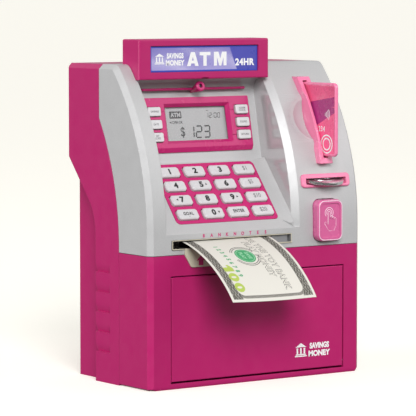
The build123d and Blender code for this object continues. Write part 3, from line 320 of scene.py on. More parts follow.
def card_print():
    """Card face: pink with two diagonal purple bands and a fine diagonal texture."""
    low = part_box("card")[0]
    look = Look("card_print", coat=0.3)
    place = look.place()
    y = (look.axis(place, "Y") - low.y) * 1000.0
    z = (look.axis(place, "Z") - low.z) * 1000.0
    slant = z + y * 0.45
    shallow = z + y * 0.15
    band = look.fit(slant, 28.2, 28.5) * look.fit(shallow, 37.8, 38.1, 1.0, 0.0)
    gap = abs(z - 31.2) + y * 0.15
    band = band * look.fit(gap, 0.5, 0.8)
    field = look.mix(look.fit(z, 0.0, 45.0), (0.90, 0.10, 0.26), (0.95, 0.14, 0.31))
    field = look.mix(band * 0.9, field, (0.36, 0.012, 0.20))
    fine = look.sine(slant * 9.0)
    look.colour(look.mix(look.fit(fine, 0.6, 1.0, 0.0, 0.12), field, (0.95, 0.35, 0.5)))
    look.rough(look.fit(look.noise(220.0), 0.3, 0.7, 0.24, 0.34))
    look.bump(look.noise(2600.0), 0.1, 1e-5)


UV_SCALE = 100.0    # the note's UV unit is this many millimetres


def note_paper(width, length):
    """Cream paper with an ornamental border, drawn from the sheet's own coordinates in mm."""
    look = Look("play_note")
    place = look.place("UV")
    u = look.axis(place, "X") * UV_SCALE
    v = look.axis(place, "Y") * UV_SCALE
    middle = width / 2
    from_middle = abs(u - middle)
    margin, band, radius, end_band = 1.7, 5.6, 5.0, 4.4
    half_field = middle - margin - band
    # distance outside the field, whose two free corners are round
    qx = from_middle - (half_field - radius)
    qy = v - (length - end_band - radius)
    qx_out = look.most(qx, 0.0)
    qy_out = look.most(qy, 0.0)
    corner = look.math("SQRT", qx_out * qx_out + qy_out * qy_out)
    inner = look.least(look.most(qx, qy), 0.0)
    outside = corner + inner - radius
    in_band = look.fit(outside, 0.0, 0.25)
    free_end = (length - margin) - v
    side = (middle - margin) - from_middle
    printed_area = look.fit(look.least(free_end, side), 0.0, 0.2)
    # ornament: interlaced waves over a cell pattern
    cells = look.cells(62.0, place, feature="SMOOTH_F1")
    swirl = look.sine(v * 1.35) * 2.0
    weave = look.sine(from_middle * 3.1 + swirl)
    rings = look.sine(cells * 34.0)
    ornament = look.fit(weave * 0.5 + rings * 0.6, -0.9, 0.15, 0.42, 1.0)
    border = in_band * printed_area * ornament
    # across the free end only a narrow ribbed line is printed
    rib = look.fit(look.sine(u * 7.0), -0.6, 0.6, 0.45, 1.0)
    rib = rib * look.fit(outside, 2.0, 2.2, 1.0, 0.0)
    at_end = look.fit(from_middle, half_field - 2.5, half_field - 1.0, 1.0, 0.0)
    at_end = at_end * look.fit(qy, 0.0, 0.5)
    border = border * look.mix(at_end, (1.0, 1.0, 1.0), (0.0, 0.0, 0.0)) + at_end * in_band * rib
    # a line where the border meets the field
    border = look.most(border, look.fit(abs(outside - 0.3), 0.12, 0.3, 0.8, 0.0))
    # field with fine engraved lines
    lines = look.sine(u * 9.0 + swirl * 0.6)
    fibre = look.noise(5200.0, 3.0)
    paper = look.mix(fibre, (0.66, 0.64, 0.58), (0.76, 0.74, 0.68))
    paper = look.mix(look.fit(lines, 0.2, 1.0) * 0.05, paper, (0.45, 0.47, 0.36))
    shade = look.mix(look.noise(160.0), (0.042, 0.038, 0.030), (0.105, 0.097, 0.080))
    look.colour(look.mix(look.least(border, 1.0), paper, shade))
    look.rough(look.fit(fibre, 0.3, 0.7, 0.66, 0.8))
    look.bump(fibre, 0.5, 3e-5)


GLOSSY = {"tone": 0.04, "grain": 3000.0, "grain_tone": 0.02, "depth": 1e-5}


def make_materials():
    moulded("magenta_shell", MAGENTA, 0.36, 0.05, 2400.0, 0.035, edge=0.5, shine=0.55)
    shell_silver()
    moulded("silver_gloss", SILVER, 0.16, 0.03, 2300.0, 0.03, 1e-5, 0.5, 0.6)
    moulded("pink_trim", PINK, 0.24, coat=0.2, shine=0.35, **GLOSSY)
    moulded("light_pink", LIGHT_PINK, 0.22, coat=0.4, edge=0.9, **GLOSSY)
    moulded("mid_pink", MID_PINK, 0.26, coat=0.35, **GLOSSY)
    moulded("white_key", WHITE, 0.26, 0.02, 3000.0, 0.01, 1e-5, 0.3, 0.15)
    moulded("cream", (0.58, 0.54, 0.42), 0.45, 0.05)
    # painted shade: the silver blank at the note slot's right end, painted dark grey for the shade
    # inside the slot
    moulded("slot_blank", (0.22, 0.22, 0.23), 0.5)
    # painted shade: near-black painted over the inside of the note slot
    moulded("slot_dark", (0.03, 0.028, 0.026), 0.5)
    moulded("grey_plastic", (0.19, 0.19, 0.20), 0.5)
    moulded("white_plastic", (0.70, 0.69, 0.66), 0.42)
    moulded("black_plastic", (0.018, 0.018, 0.020), 0.5, 0.2)
    moulded("cell_wrap", (0.03, 0.035, 0.045), 0.3, 0.2)
    moulded("lens_black", (0.006, 0.006, 0.008), 0.08, 0.2, coat=0.5)
    moulded("roller_rubber", (0.05, 0.05, 0.052), 0.72, 0.1, 1700.0, 0.06, 6e-5)
    simple_metal("coin_metal", (0.80, 0.80, 0.80), 0.25)
    simple_metal("steel", (0.55, 0.55, 0.57), 0.30)
    window_glass()
    lcd_grey()
    board_green()
    sign_print()
    card_print()
    ink("ink_black", (0.015, 0.015, 0.017))
    ink("ink_grey", (0.16, 0.16, 0.17))
    ink("ink_white", (0.88, 0.88, 0.88))
    ink("ink_pink", (0.52, 0.02, 0.16))
    ink("ink_lcd", (0.012, 0.013, 0.014), 0.5)
    ink("ink_light", (0.95, 0.66, 0.78), 0.3)
    ink("ink_lime", (0.44, 0.56, 0.10))
    ink("ink_green", (0.045, 0.36, 0.14))
    ink("ink_green_tint", (0.30, 0.62, 0.38))
    ink("ink_engraved", (0.13, 0.12, 0.11))
    ink("paper_plain", (0.84, 0.82, 0.74), 0.7)


def dress(obj, *materials):
    """Gives an object its materials in place of those it has."""
    obj.data.materials.clear()
    for name in materials:
        obj.data.materials.append(MATERIALS[name])
    return obj


# ---- mesh helpers
FLAT_ANGLE = math.radians(0.6)  # faces turned less than this are one flat region
SHADE_ANGLE = math.radians(28.0)  # shading runs over edges shallower than this
PRINT_DEPTH = 0.05  # mm, thickness of flat printed shapes


def as_mesh(bm, name):
    """Ends a bmesh as a mesh."""
    mesh = bpy.data.meshes.new(name)
    bm.to_mesh(mesh)
    bm.free()
    return mesh


def add_piece(name, mesh, like, *materials, replaces=False):
    """Adds a mesh that rides on a CAD node's body, and may stand for the node."""
    mesh.name = name
    obj = bpy.data.objects.new(name, mesh)
    bpy.context.collection.objects.link(obj)
    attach(obj, BODY_OF[like])
    if replaces:
        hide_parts(like)
    return dress(obj, *materials)


def smooth(mesh, degrees=32.0):
    """Smooth shading except over edges sharper than an angle."""
    for face in mesh.polygons:
        face.use_smooth = True
    mesh.set_sharp_from_angle(angle=math.radians(degrees))


def flat_regions(bm):
    """Number of the flat region that each face lies in, and every region's area."""
    region, areas = [-1] * len(bm.faces), []
    for seed in bm.faces:
        if region[seed.index] >= 0:
            continue
        region[seed.index] = len(areas)
        total, waiting = 0.0, [seed]
        while waiting:
            face = waiting.pop()
            total += face.calc_area()
            for other in (o for edge in face.edges for o in edge.link_faces):
                if region[other.index] < 0 and other.normal.angle(seed.normal, 1.0) < FLAT_ANGLE:
                    region[other.index] = len(areas)
                    waiting.append(other)
        areas.append(total)
    return region, areas


def shading_group(vert, left):
    """Takes one of the faces round a corner, with those that shade smoothly into it."""
    group, waiting = [], [left.pop()]
    while waiting:
        face = waiting.pop()
        group.append(face)
        for edge in face.edges:
            if vert not in edge.verts or len(edge.link_faces) != 2:
                continue
            if edge.calc_face_angle(9.0) < SHADE_ANGLE:
                for other in edge.link_faces:
                    if other in left:
                        left.remove(other)
                        waiting.append(other)
    return group


def even_normals(mesh):
    """Shades smoothly over shallow edges while large flat faces stay flat."""
    bm = bmesh.new()
    bm.from_mesh(mesh)
    bm.faces.ensure_lookup_table()
    region, areas = flat_regions(bm)
    shade = {}
    for vert in bm.verts:
        left = set(vert.link_faces)
        while left:
            group = shading_group(vert, left)
            total = Vector()
            for number, normal in {region[face.index]: face.normal for face in group}.items():
                total += normal * (areas[number] / MM**2 + 1e-4)
            for face in group:
                shade[face.index, vert.index] = total.normalized()
    normals = [shade[face.index, vert.index] for face in bm.faces for vert in face.verts]
    bm.free()
    for face in mesh.polygons:
        face.use_smooth = True
    mesh.normals_split_custom_set(normals)


def refined(node, material, width=0.0, segments=2, limit=25.0):
    """A smooth-shaded copy of a CAD node, its sharp edges rounded by a width in mm."""
    mesh = nodes[node].data.copy()
    bm = bmesh.new()
    bm.from_mesh(mesh)
    bmesh.ops.remove_doubles(bm, verts=bm.verts, dist=2e-6)
    if width:
        bmesh.ops.dissolve_limit(bm, angle_limit=math.radians(0.3), verts=bm.verts, edges=bm.edges)
        sharp = [edge for edge in bm.edges if len(edge.link_faces) == 2
                 and edge.calc_face_angle() > math.radians(limit)]
        bmesh.ops.bevel(bm, geom=sharp, offset=width * MM, offset_type="OFFSET", segments=segments,
                        profile=0.5, affect="EDGES", clamp_overlap=True, miter_outer="ARC")
    bm.to_mesh(mesh)
    bm.free()
    even_normals(mesh)
    return add_piece(node + "_moulding", mesh, node, material, replaces=True)


# A place is a point in metres with a face's right, up and normal directions.
def part_frame(node, up, normal):
    """Place at the middle of the face of a CAD node that lies furthest along a normal."""
    right = up.cross(normal)
    points = [v.co for v in nodes[node].data.vertices]
    top = max(p.dot(normal) for p in points)
    face = [p for p in points if top - p.dot(normal) < 0.02 * MM]
    spans = []
    for axis in (right, up):
        along = [p.dot(axis) for p in face]
        spans.append((min(along) + max(along)) / 2)
    return right * spans[0] + up * spans[1] + normal * top, right, up, normal


def front_place(x, y, z):
    """Place that faces the front, in metres."""
    return Vector((x, y, z)), X, Z, -Y


def set_in(mesh, place, lift=0.0):
    """Moves a mesh drawn in millimetres on XY onto a face."""
    origin, right, up, normal = place
    turn = Matrix((right, up, normal)).transposed().to_4x4()
    mesh.transform(Matrix.Translation(origin + normal * lift * MM) @ turn @ Matrix.Scale(MM, 4))
    mesh.update()


def shifted(mesh, x, y, z=0.0):
    mesh.transform(Matrix.Translation((x, y, z)))
    return mesh


def curve_to_mesh(curve):
    carrier = bpy.data.objects.new("carrier", curve)
    bpy.context.collection.objects.link(carrier)
    bpy.context.view_layer.update()
    graph = bpy.context.evaluated_depsgraph_get()
    mesh = bpy.data.meshes.new_from_object(carrier.evaluated_get(graph))
    bpy.data.objects.remove(carrier)
    bpy.data.curves.remove(curve)
    return mesh


def lettering(text, size, bold=0.0, spacing=1.0, squeeze=1.0, at=(0, 0), turn=0.0):
    """Solid lettering in millimetres, centred on a point and turned by an angle."""
    curve = bpy.data.curves.new("lettering", "FONT")
    curve.body = text
    curve.size = size
    curve.offset = bold
    curve.extrude = PRINT_DEPTH / 2
    curve.space_character = spacing
    curve.align_x = "CENTER"
    curve.resolution_u = 4
    mesh = curve_to_mesh(curve)
    xs = [v.co.x for v in mesh.vertices]
    ys = [v.co.y for v in mesh.vertices]
    shifted(mesh, -(min(xs) + max(xs)) / 2, -(min(ys) + max(ys)) / 2)
    mesh.transform(Matrix.Diagonal((squeeze, 1, 1, 1)))
    if turn:
        mesh.transform(Matrix.Rotation(turn, 4, "Z"))
    return shifted(mesh, *at)


def add_loops(curve, loops, closed):
    for loop in loops:
        spline = curve.splines.new("POLY")
        spline.points.add(len(loop) - 1)
        for point, (x, y) in zip(spline.points, loop):
            point.co = (x, y, 0, 1)
        spline.use_cyclic_u = closed


def plate(*loops, thick=PRINT_DEPTH):
    """Flat plate in millimetres from closed outlines; one inside another is a hole."""
    curve = bpy.data.curves.new("plate", "CURVE")
    curve.dimensions = "2D"
    curve.fill_mode = "BOTH"
    curve.extrude = thick / 2
    add_loops(curve, loops, True)
    return curve_to_mesh(curve)


def strokes(paths, width, thick=PRINT_DEPTH, closed=False):
    """Line drawing in millimetres: each path becomes a flat, round-ended ribbon."""
    curve = bpy.data.curves.new("stroke", "CURVE")
    curve.dimensions = "3D"
    curve.bevel_depth = width / 2
    curve.bevel_resolution = 3
    curve.use_fill_caps = True
    add_loops(curve, paths, closed)
    mesh = curve_to_mesh(curve)
    mesh.transform(Matrix.Diagonal((1, 1, thick / width, 1)))
    return mesh


def polar(cx, cy, radius, angle):
    return cx + radius * math.cos(angle), cy + radius * math.sin(angle)


def arc(cx, cy, radius, start=0, end=360, count=16):
    """Points on a circular arc, angles in degrees."""
    steps = [math.radians(start + (end - start) * n / (count - 1)) for n in range(count)]
    return [polar(cx, cy, radius, angle) for angle in steps]


def rounded_rect(x0, y0, x1, y1, radius, count=6):
    """Closed outline of a rectangle with round corners."""
    corners = ((x1, y1, -1, -1), (x0, y1, 1, -1), (x0, y0, 1, 1), (x1, y0, -1, 1))
    points = []
    for n, (x, y, dx, dy) in enumerate(corners):
        points += arc(x + dx * radius, y + dy * radius, radius, 90 * n, 90 * n + 90, count)
    return points


def arrow_head(x, y, turn, size):
    """Small triangle pointing along an angle in degrees."""
    return [polar(x, y, size, math.radians(turn + step)) for step in (0, 130, 230)]


def skin(bm, loops):
    """Bands of faces between closed rings of vertices."""
    for a, b in zip(loops, loops[1:]):
        for n in range(len(a)):
            ahead = (n + 1) % len(a)
            bm.faces.new((a[n], a[ahead], b[ahead], b[n]))


def joined(meshes):
    """One mesh from several."""
    bm = bmesh.new()
    for mesh in meshes:
        bm.from_mesh(mesh)
    return as_mesh(bm, "joined")


def printed(name, meshes, place, material, like, lift=0.03):
    """Thin printed or inlaid piece on the face of a CAD node, riding with it."""
    mesh = joined(meshes)
    set_in(mesh, place, lift)
    return add_piece(name, mesh, like, material)


# ---- shells
# node, material, and where its edges are rounded, the width in mm and the segments
MOULDINGS = (
    ("rear_housing", "magenta_shell"), ("front_panel", "magenta_shell"),
    ("battery_cover", "magenta_shell"), ("base_plate", "magenta_shell"),
    ("door", "magenta_shell", 0.45), ("fascia", "silver_shell"),
    ("sign_box", "magenta_shell", 0.5, 3), ("screen_bezel", "pink_trim"),
    ("keypad_plate", "pink_trim"), ("coin_bezel", "light_pink", 0.4, 3),
    ("card_bezel", "light_pink", 0.8, 3), ("camera_bar", "pink_trim"),
    ("touch_button", "mid_pink", 0.35), ("note_guide", "cream"),
)


def shells():
    made = {row[0]: refined(*row) for row in MOULDINGS}
    polish_dish(made["fascia"].data)
    paint_slot_shade(made["note_guide"].data)


def polish_dish(mesh):
    """Gives the round thumb dish behind the card its gloss: small faces near its centre."""
    mesh.materials.append(MATERIALS["silver_gloss"])
    low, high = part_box("card_bezel")
    dish_x, dish_z = (low.x + high.x) / 2, (low.z + high.z) / 2 + 0.7 * MM
    reach, largest = 17.8 * MM, 12 * MM**2
    for face in mesh.polygons:
        near = math.hypot(face.center.x - dish_x, face.center.z - dish_z) < reach
        if near and len(face.vertices) == 3 and face.area < largest and face.normal.y < -0.1:
            face.material_index = 1


def paint_slot_shade(mesh):
    """Painted shade: near-black painted over the inside of the note slot, and the silver blank in
    its unused right end painted dark grey.
    """
    for name in ("slot_dark", "slot_blank"):
        mesh.materials.append(MATERIALS[name])
    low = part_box("note_guide")[0]
    blank_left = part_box("banknote")[1].x + 1.0 * MM
    for face in mesh.polygons:
        # inside faces of the slot get painted shade: dark grey on the blank, near-black elsewhere
        if face.center.z > low.z + 8.0 * MM and face.center.y > low.y + 1.2 * MM:
            face.material_index = 2 if face.center.x > blank_left else 1


# ---- keys
KEY_SIGNS = {
    "1": "1", "2": "2", "3": "3", "4": "4", "5": "5", "6": "6", "7": "7", "8": "8", "9": "9",
    "0": "0", "1_dollar": "$1", "5_dollars": "$5", "10_dollars": "$10", "20_dollars": "$20",
    "enter": "ENTER", "goal": "GOAL",
}
ARROWS = {"5": (3.6, 0, 90, 0.95), "7": (-3.6, 0, 180, 0.95), "9": (3.6, 0, 0, 0.95),
          "0": (3.9, 0, 270, 0.95), "goal": (0, -2.1, 270, 0.4)}    # x, y, turn, size
KEY_EDGE, SOFT_KEY_EDGE, KEY_LIMIT = 0.28, 0.2, 20.0
SOFT_SIGNS = {
    "left_1": ["SAVINGS"], "left_2": ["DATE"], "left_3": ["SET", "CODE"],
    "right_1": ["ALARM", "CLOCK"], "right_2": ["SOUND"], "right_3": ["RETURN"],
}


def slope(degrees):
    """Up and normal directions of a panel that leans back."""
    angle = math.radians(degrees)
    return (Vector((0, math.cos(angle), math.sin(angle))),
            Vector((0, -math.sin(angle), math.cos(angle))))


KEY_SLOPE, SCREEN_SLOPE, COIN_SLOPE = slope(50.2), slope(78.1), slope(12.0)


def keys():
    for short, sign in KEY_SIGNS.items():
        node, colour = "key_" + short, "ink_black"
        refined(node, "white_key", KEY_EDGE, 2, KEY_LIMIT)
        if sign.isdigit():
            marks = [lettering(sign, 5.4, 0.26, squeeze=1.05)]
        elif sign.startswith("$"):
            marks, colour = [lettering(sign, 4.4, 0.02, squeeze=0.82)], "ink_grey"
        else:
            marks = [lettering(sign, 3.2, 0.1, 1.14, 0.8)]
        if short in ARROWS:
            marks.append(plate(arrow_head(*ARROWS[short])))
        printed("print_" + node, marks, part_frame(node, *KEY_SLOPE), colour, node)


def soft_keys():
    for short, lines in SOFT_SIGNS.items():
        node = "soft_key_" + short
        refined(node, "white_key", SOFT_KEY_EDGE, 2, KEY_LIMIT)
        marks = [lettering(line, 1.7, 0.03, squeeze=0.9, at=(0, (len(lines) - 1) * 0.75 - 1.5 * n))
                 for n, line in enumerate(lines)]
        printed("print_" + node, marks, part_frame(node, *SCREEN_SLOPE), "ink_grey", node)


# ---- display
SEGMENTS = {"0": "abcdef", "1": "bc", "2": "abged", "3": "abgcd"}
# digits, their left ends, foot, height and bar width, in mm from the panel's middle
AMOUNT = ("123", (-6.2, -0.2, 5.9), -8.7, 7.2, 0.95)
CLOCK = ("1200", (8.6, 11.3, 15.0, 17.7), 3.6, 3.0, 0.40)
LEAN = 0.08


def seven_segment(digit, x, y, height, thick):
    """Slanted seven-segment digit as flat hexagonal bars."""
    half, w = height / 2, height * 0.58
    ends = {"a": ((0, height), (w, height)), "b": ((w, height), (w, half)),
            "c": ((w, half), (w, 0)), "d": ((0, 0), (w, 0)), "e": ((0, 0), (0, half)),
            "f": ((0, half), (0, height)), "g": ((0, half), (w, half))}
    bars = []
    for name in SEGMENTS[digit]:
        (x0, y0), (x1, y1) = ends[name]
        length = math.hypot(x1 - x0, y1 - y0)
        ux, uy = (x1 - x0) / length, (y1 - y0) / length
        gap, t = thick * 0.12, thick / 2
        shape = [(gap, 0), (gap + t, t), (length - gap - t, t), (length - gap, 0),
                 (length - gap - t, -t), (gap + t, -t)]
        bar = []
        for along, side in shape:
            px, py = x0 + ux * along - uy * side, y0 + uy * along + ux * side
            bar.append((x + px + LEAN * py, y + py))
        bars.append(bar)
    return bars


def display():
    dress(nodes["lcd_panel"], "lcd_grey")
    dress(nodes["lcd_lens"], "lcd_glass")
    place = part_frame("lcd_panel", *SCREEN_SLOPE)
    bars = []
    for digits, lefts, y, height, thick in (AMOUNT, CLOCK):
        for digit, x in zip(digits, lefts):
            bars += seven_segment(digit, x, y, height, thick)
    bars += [rounded_rect(14.1, y, 14.5, y + 0.4, 0.15, 4) for y in (4.3, 5.6)]
    bars += [rounded_rect(9.4, 8.0, 11.0, 8.35, 0.15, 4)]
    marks = [plate(*bars), lettering("$", 8.2, 0.12, squeeze=0.8, at=(-10.1, -5.2)),
             strokes([arc(-16.6, 1.2, 0.75, count=12)], 0.3),
             plate(arrow_head(-18.6, 1.2, 180, 0.9)),
             lettering("PIN OK", 2.3, 0.06, squeeze=0.8, at=(-12.4, 1.2))]
    printed("lcd_figures", marks, place, "ink_lcd", "lcd_panel")
    tag = plate(rounded_rect(-18.9, 3.7, -9.9, 8.2, 0.5, 5), thick=0.1)
    printed("lcd_tag", [tag], place, "ink_lcd", "lcd_panel", 0.06)
    word = lettering("ATM", 3.6, 0.16, at=(-14.4, 5.95))
    printed("lcd_tag_word", [word], place, "lcd_grey", "lcd_panel", 0.14)


# ---- signs and printing
LETTER_A = [(0, 0), (2.7, 0), (3.2, 1.6), (5.6, 1.6), (6.1, 0), (8.8, 0), (5.9, 8.6), (2.9, 8.6)]
LETTER_A_HOLE = [(3.75, 3.4), (5.05, 3.4), (4.4, 5.7)]
LETTER_T = [(2.85, 0), (5.35, 0), (5.35, 6.5), (8.2, 6.5), (8.2, 8.6), (0, 8.6), (0, 6.5),
            (2.85, 6.5)]
LETTER_M = [(0, 0), (2.3, 0), (2.3, 5.2), (4.0, 0), (5.6, 0), (7.3, 5.2), (7.3, 0), (9.6, 0),
            (9.6, 8.6), (6.2, 8.6), (4.8, 4.2), (3.4, 8.6), (0, 8.6)]
TONGUE_ARROW = [(-1.7, 75.2), (1.7, 75.2), (1.7, 78.2), (3.3, 78.2), (0, 81.4), (-3.3, 78.2),
                (-1.7, 78.2)]


def bank_icon(x, y, size):
    """Plain building pictogram: roof, three pillars and two steps."""
    plates = [[(-0.5, 0.22), (0, 0.52), (0.5, 0.22)]]
    boxes = [(0.32 * n - 0.07, -0.26, 0.32 * n + 0.07, 0.16) for n in (-1, 0, 1)]
    boxes += [(-half, low, half, low + 0.08) for half, low in ((0.46, -0.36), (0.54, -0.48))]
    plates += [[(x0, y0), (x1, y0), (x1, y1), (x0, y1)] for x0, y0, x1, y1 in boxes]
    return plate(*[[(x + px * size, y + py * size) for px, py in loop] for loop in plates])


def sign():
    dress(nodes["sign_insert"], "sign_print")
    low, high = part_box("sign_insert")
    place = front_place((low.x + high.x) / 2, low.y, (low.z + high.z) / 2)
    marks = [shifted(plate(LETTER_A, LETTER_A_HOLE), -13.1, -4.5),
             shifted(plate(LETTER_T), -3.6, -4.5), shifted(plate(LETTER_M), 7.3, -4.5),
             lettering("24HR", 5.6, 0.26, 1.12, at=(31.0, -2.4)), bank_icon(-33.7, 0.1, 6.6),
             lettering("SAVINGS", 4.3, 0.22, 1.06, 0.70, at=(-22.0, 2.0)),
             lettering("MONEY", 4.3, 0.22, 1.06, 0.88, at=(-22.0, -2.3))]
    printed("sign_lettering", marks, place, "ink_white", "sign_insert")


def door_emblem():
    low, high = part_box("door")
    x, z = high.x / MM - 33.2, low.z / MM + 12.2
    marks = [bank_icon(x, z, 8.6),
             lettering("SAVINGS", 4.7, 0.24, squeeze=0.82, at=(x + 14.6, z + 2.3)),
             lettering("MONEY", 4.7, 0.24, squeeze=1.02, at=(x + 14.6, z - 2.6))]
    printed("door_emblem", marks, front_place(0, low.y, 0), "ink_white", "door")


def slot_printing():
    """The word over the note slot, and two arrows on the tongue under it."""
    word, first, last, height = "BANKNOTES", -41.0, 5.8, 93.05
    pitch = (last - first) / (len(word) - 1)
    marks = [lettering(letter, 2.8, 0.12, squeeze=0.95, at=(first + pitch * n, height))
             for n, letter in enumerate(word)]
    place = front_place(0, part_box("front_panel")[0].y, 0)
    printed("slot_lettering", marks, place, "ink_pink", "fascia")
    marks = [shifted(plate(TONGUE_ARROW), x, 0) for x in (-43.8, -2.6)]
    place = front_place(0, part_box("note_guide")[0].y, 0)
    printed("slot_arrows", marks, place, "ink_pink", "note_guide")


def touch_pictogram():
    """Pointing hand with two rings round the fingertip, and a bright line round the rim."""
    low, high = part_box("touch_button")
    cx, cz = (low.x + high.x) / 2, (low.z + high.z) / 2
    tip = (-0.9, 4.9)
    hand = [(-1.75, -1.2)] + arc(*tip, 0.85, 180, 0, 9) + [(-0.05, 0.6), (-0.05, 2.1)]
    hand += arc(0.8, 2.1, 0.8, 180, 0, 7)[1:] + [(1.6, 0.4), (1.6, 1.6)]
    hand += arc(2.4, 1.5, 0.75, 180, 0, 7)[1:] + [(3.15, 0.0), (3.15, 0.9)]
    hand += arc(3.9, 0.8, 0.7, 180, 0, 7)[1:]
    hand += [(4.6, -3.4), (3.6, -5.2), (2.9, -6.6), (-1.0, -6.6), (-2.0, -5.4), (-4.4, -2.0),
             (-4.3, -1.1), (-3.6, -0.9), (-2.6, -1.6), (-1.75, -2.6), (-1.75, -1.2)]
    paths = [hand, arc(*tip, 2.0, -35, 215, 22), arc(*tip, 3.2, -42, 222, 28)]
    pad = front_place(cx, low.y + 0.5 * MM, cz)
    printed("touch_sign", [strokes(paths, 0.46, 0.12)], pad, "ink_light", "touch_button", 0.0)
    half_w, half_h = (high.x - low.x) / 2 / MM - 2.35, (high.z - low.z) / 2 / MM - 0.85
    rim = rounded_rect(-half_w, -half_h, half_w, half_h, 3.7, 8)
    printed("touch_rim", [strokes([rim], 0.55, 0.12, closed=True)], front_place(cx, low.y, cz),
            "ink_light", "touch_button", 0.0)


# ---- coin and card
COIN_TEETH = 90
COIN_HALF = 1.0     # mm, half its thickness
# inset from the card's edge in mm, with that part of half its thickness
CARD_RIM = [(0.0, 0.0), (0.10, 0.45), (0.45, 0.85), (0.8, 1.0), (1.4, 1.0), (1.7, 0.80)]


def coin_ring(bm, radius, z, cut=0.0):
    """Ring of vertices round the coin; every second one is cut back for the milling."""
    ring = []
    for step in range(2 * COIN_TEETH):
        x, y = polar(0, 0, radius - (cut if step % 2 else 0.0), math.pi * step / COIN_TEETH)
        ring.append(bm.verts.new((x, y, z)))
    return ring


def coin_body(radius):
    """Blank with a milled edge and a raised rim on both faces."""
    bm, half = bmesh.new(), COIN_HALF
    loops = [coin_ring(bm, radius - 0.35, half), coin_ring(bm, radius, half - 0.3, 0.09),
             coin_ring(bm, radius, -half + 0.3, 0.09), coin_ring(bm, radius - 0.35, -half)]
    count = len(loops[0])
    for a, b in zip(loops, loops[1:]):
        for n in range(count):
            bm.faces.new((a[n], b[n], b[(n + 1) % count], a[(n + 1) % count]))
    for side, ring in ((1, loops[0]), (-1, loops[-1])):
        for step_in, z in ((1.4, half), (1.8, half - 0.25), (2.6, half - 0.25)):
            inner = coin_ring(bm, radius - step_in, side * z)
            for n in range(count):
                quad = (ring[n], ring[(n + 1) % count], inner[(n + 1) % count], inner[n])
                bm.faces.new(quad[::side])
            ring = inner
        bm.faces.new(ring[::side])
    bm.normal_update()
    return as_mesh(bm, "coin_body")


def coin():
    """Bright coin with a plain star and ring on both faces."""
    low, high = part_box("coin")
    meshes = [coin_body((high.x - low.x) / 2 / MM)]
    star = [polar(0, 0, 2.6 if n % 2 else 6.0, math.pi / 2 + math.pi * n / 5) for n in range(10)]
    for z in (COIN_HALF - 0.2, 0.2 - COIN_HALF):
        meshes.append(shifted(plate(star, thick=0.3), 0, 0, z))
        meshes.append(shifted(strokes([arc(0, 0, 9.2, count=60)], 0.5, 0.3), 0, 0, z))
    mesh = joined(meshes)
    set_in(mesh, ((low + high) / 2, X, *COIN_SLOPE))
    smooth(mesh, 30)
    add_piece("coin_struck", mesh, "coin", "coin_metal", replaces=True)


def card():
    """Play card: thick rounded rim in light pink round a printed field on both faces."""
    low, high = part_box("card")
    thick, length, height = (high - low) / MM
    rows = [(inset, -depth * thick / 2) for inset, depth in reversed(CARD_RIM)]
    rows += [(inset, depth * thick / 2) for inset, depth in CARD_RIM[1:]]
    bm = bmesh.new()
    loops = []
    for inset, z in rows:
        outline = rounded_rect(inset, inset, length - inset, height - inset,
                               max(3.0 - inset, 0.9), 7)
        loops.append([bm.verts.new((x, y, z)) for x, y in outline])
    skin(bm, loops)
    fields = [bm.faces.new(loops[0][::-1]), bm.faces.new(loops[-1])]
    bm.faces.index_update()
    printed_faces = [face.index for face in fields]
    bmesh.ops.recalc_face_normals(bm, faces=bm.faces)
    mesh = as_mesh(bm, "play_card")
    set_in(mesh, (Vector(((low.x + high.x) / 2, low.y, low.z)), Y, Z, X))
    smooth(mesh, 40)
    add_piece("play_card", mesh, "card", "light_pink", "card_print", replaces=True)
    for index in printed_faces:
        mesh.polygons[index].material_index = 1
    # marks on the left face, seen from -X: right is -Y there
    face = (Vector((low.x + 0.24 * MM, low.y, low.z)), -Y, Z, -X)
    marks = [strokes([arc(-12.4, 26.5, r, 145, 215, 10) for r in (-1.4, -2.8, -4.2, -5.6)],
                     0.5, 0.06),
             lettering("1234", 4.6, 0.1, 1.25, 0.8, at=(-15.5, 17.3)),
             strokes([arc(-9.6, 7.8, 5.6, count=40), arc(-9.6, 7.8, 3.6, count=30)], 0.9, 0.06)]
    printed("card_marks", marks, face, "ink_white", "card", 0.0)


# ---- banknote
# the sheet's line in the (y, z) plane, in millimetres: straight to the knee, then an arc
NOTE_KNEE, NOTE_MID, NOTE_TIP = (-42.0, 90.2), (-66.0, 81.3), (-94.0, 57.2)
NOTE_RISE = 0.2
NOTE_COLUMNS, NOTE_ROWS = 34, 72
NOTE_HALF_THICK = 0.125
NOTE_SEAL = (31.0, -45.0)
NUMERAL_ONE = [(7.0, -59.3), (7.0, -55.6), (11.0, -55.6), (10.4, -53.4), (12.0, -53.4),
               (14.0, -56.2), (14.0, -59.3)]


def circle_through(a, b, c):
    """Centre and radius of the circle through three points."""
    d = 2 * (a[0] * (b[1] - c[1]) + b[0] * (c[1] - a[1]) + c[0] * (a[1] - b[1]))
    sa, sb, sc = (p[0]**2 + p[1]**2 for p in (a, b, c))
    x = (sa * (b[1] - c[1]) + sb * (c[1] - a[1]) + sc * (a[1] - b[1])) / d
    y = (sa * (c[0] - b[0]) + sb * (a[0] - c[0]) + sc * (b[0] - a[0])) / d
    return x, y, math.hypot(a[0] - x, a[1] - y)


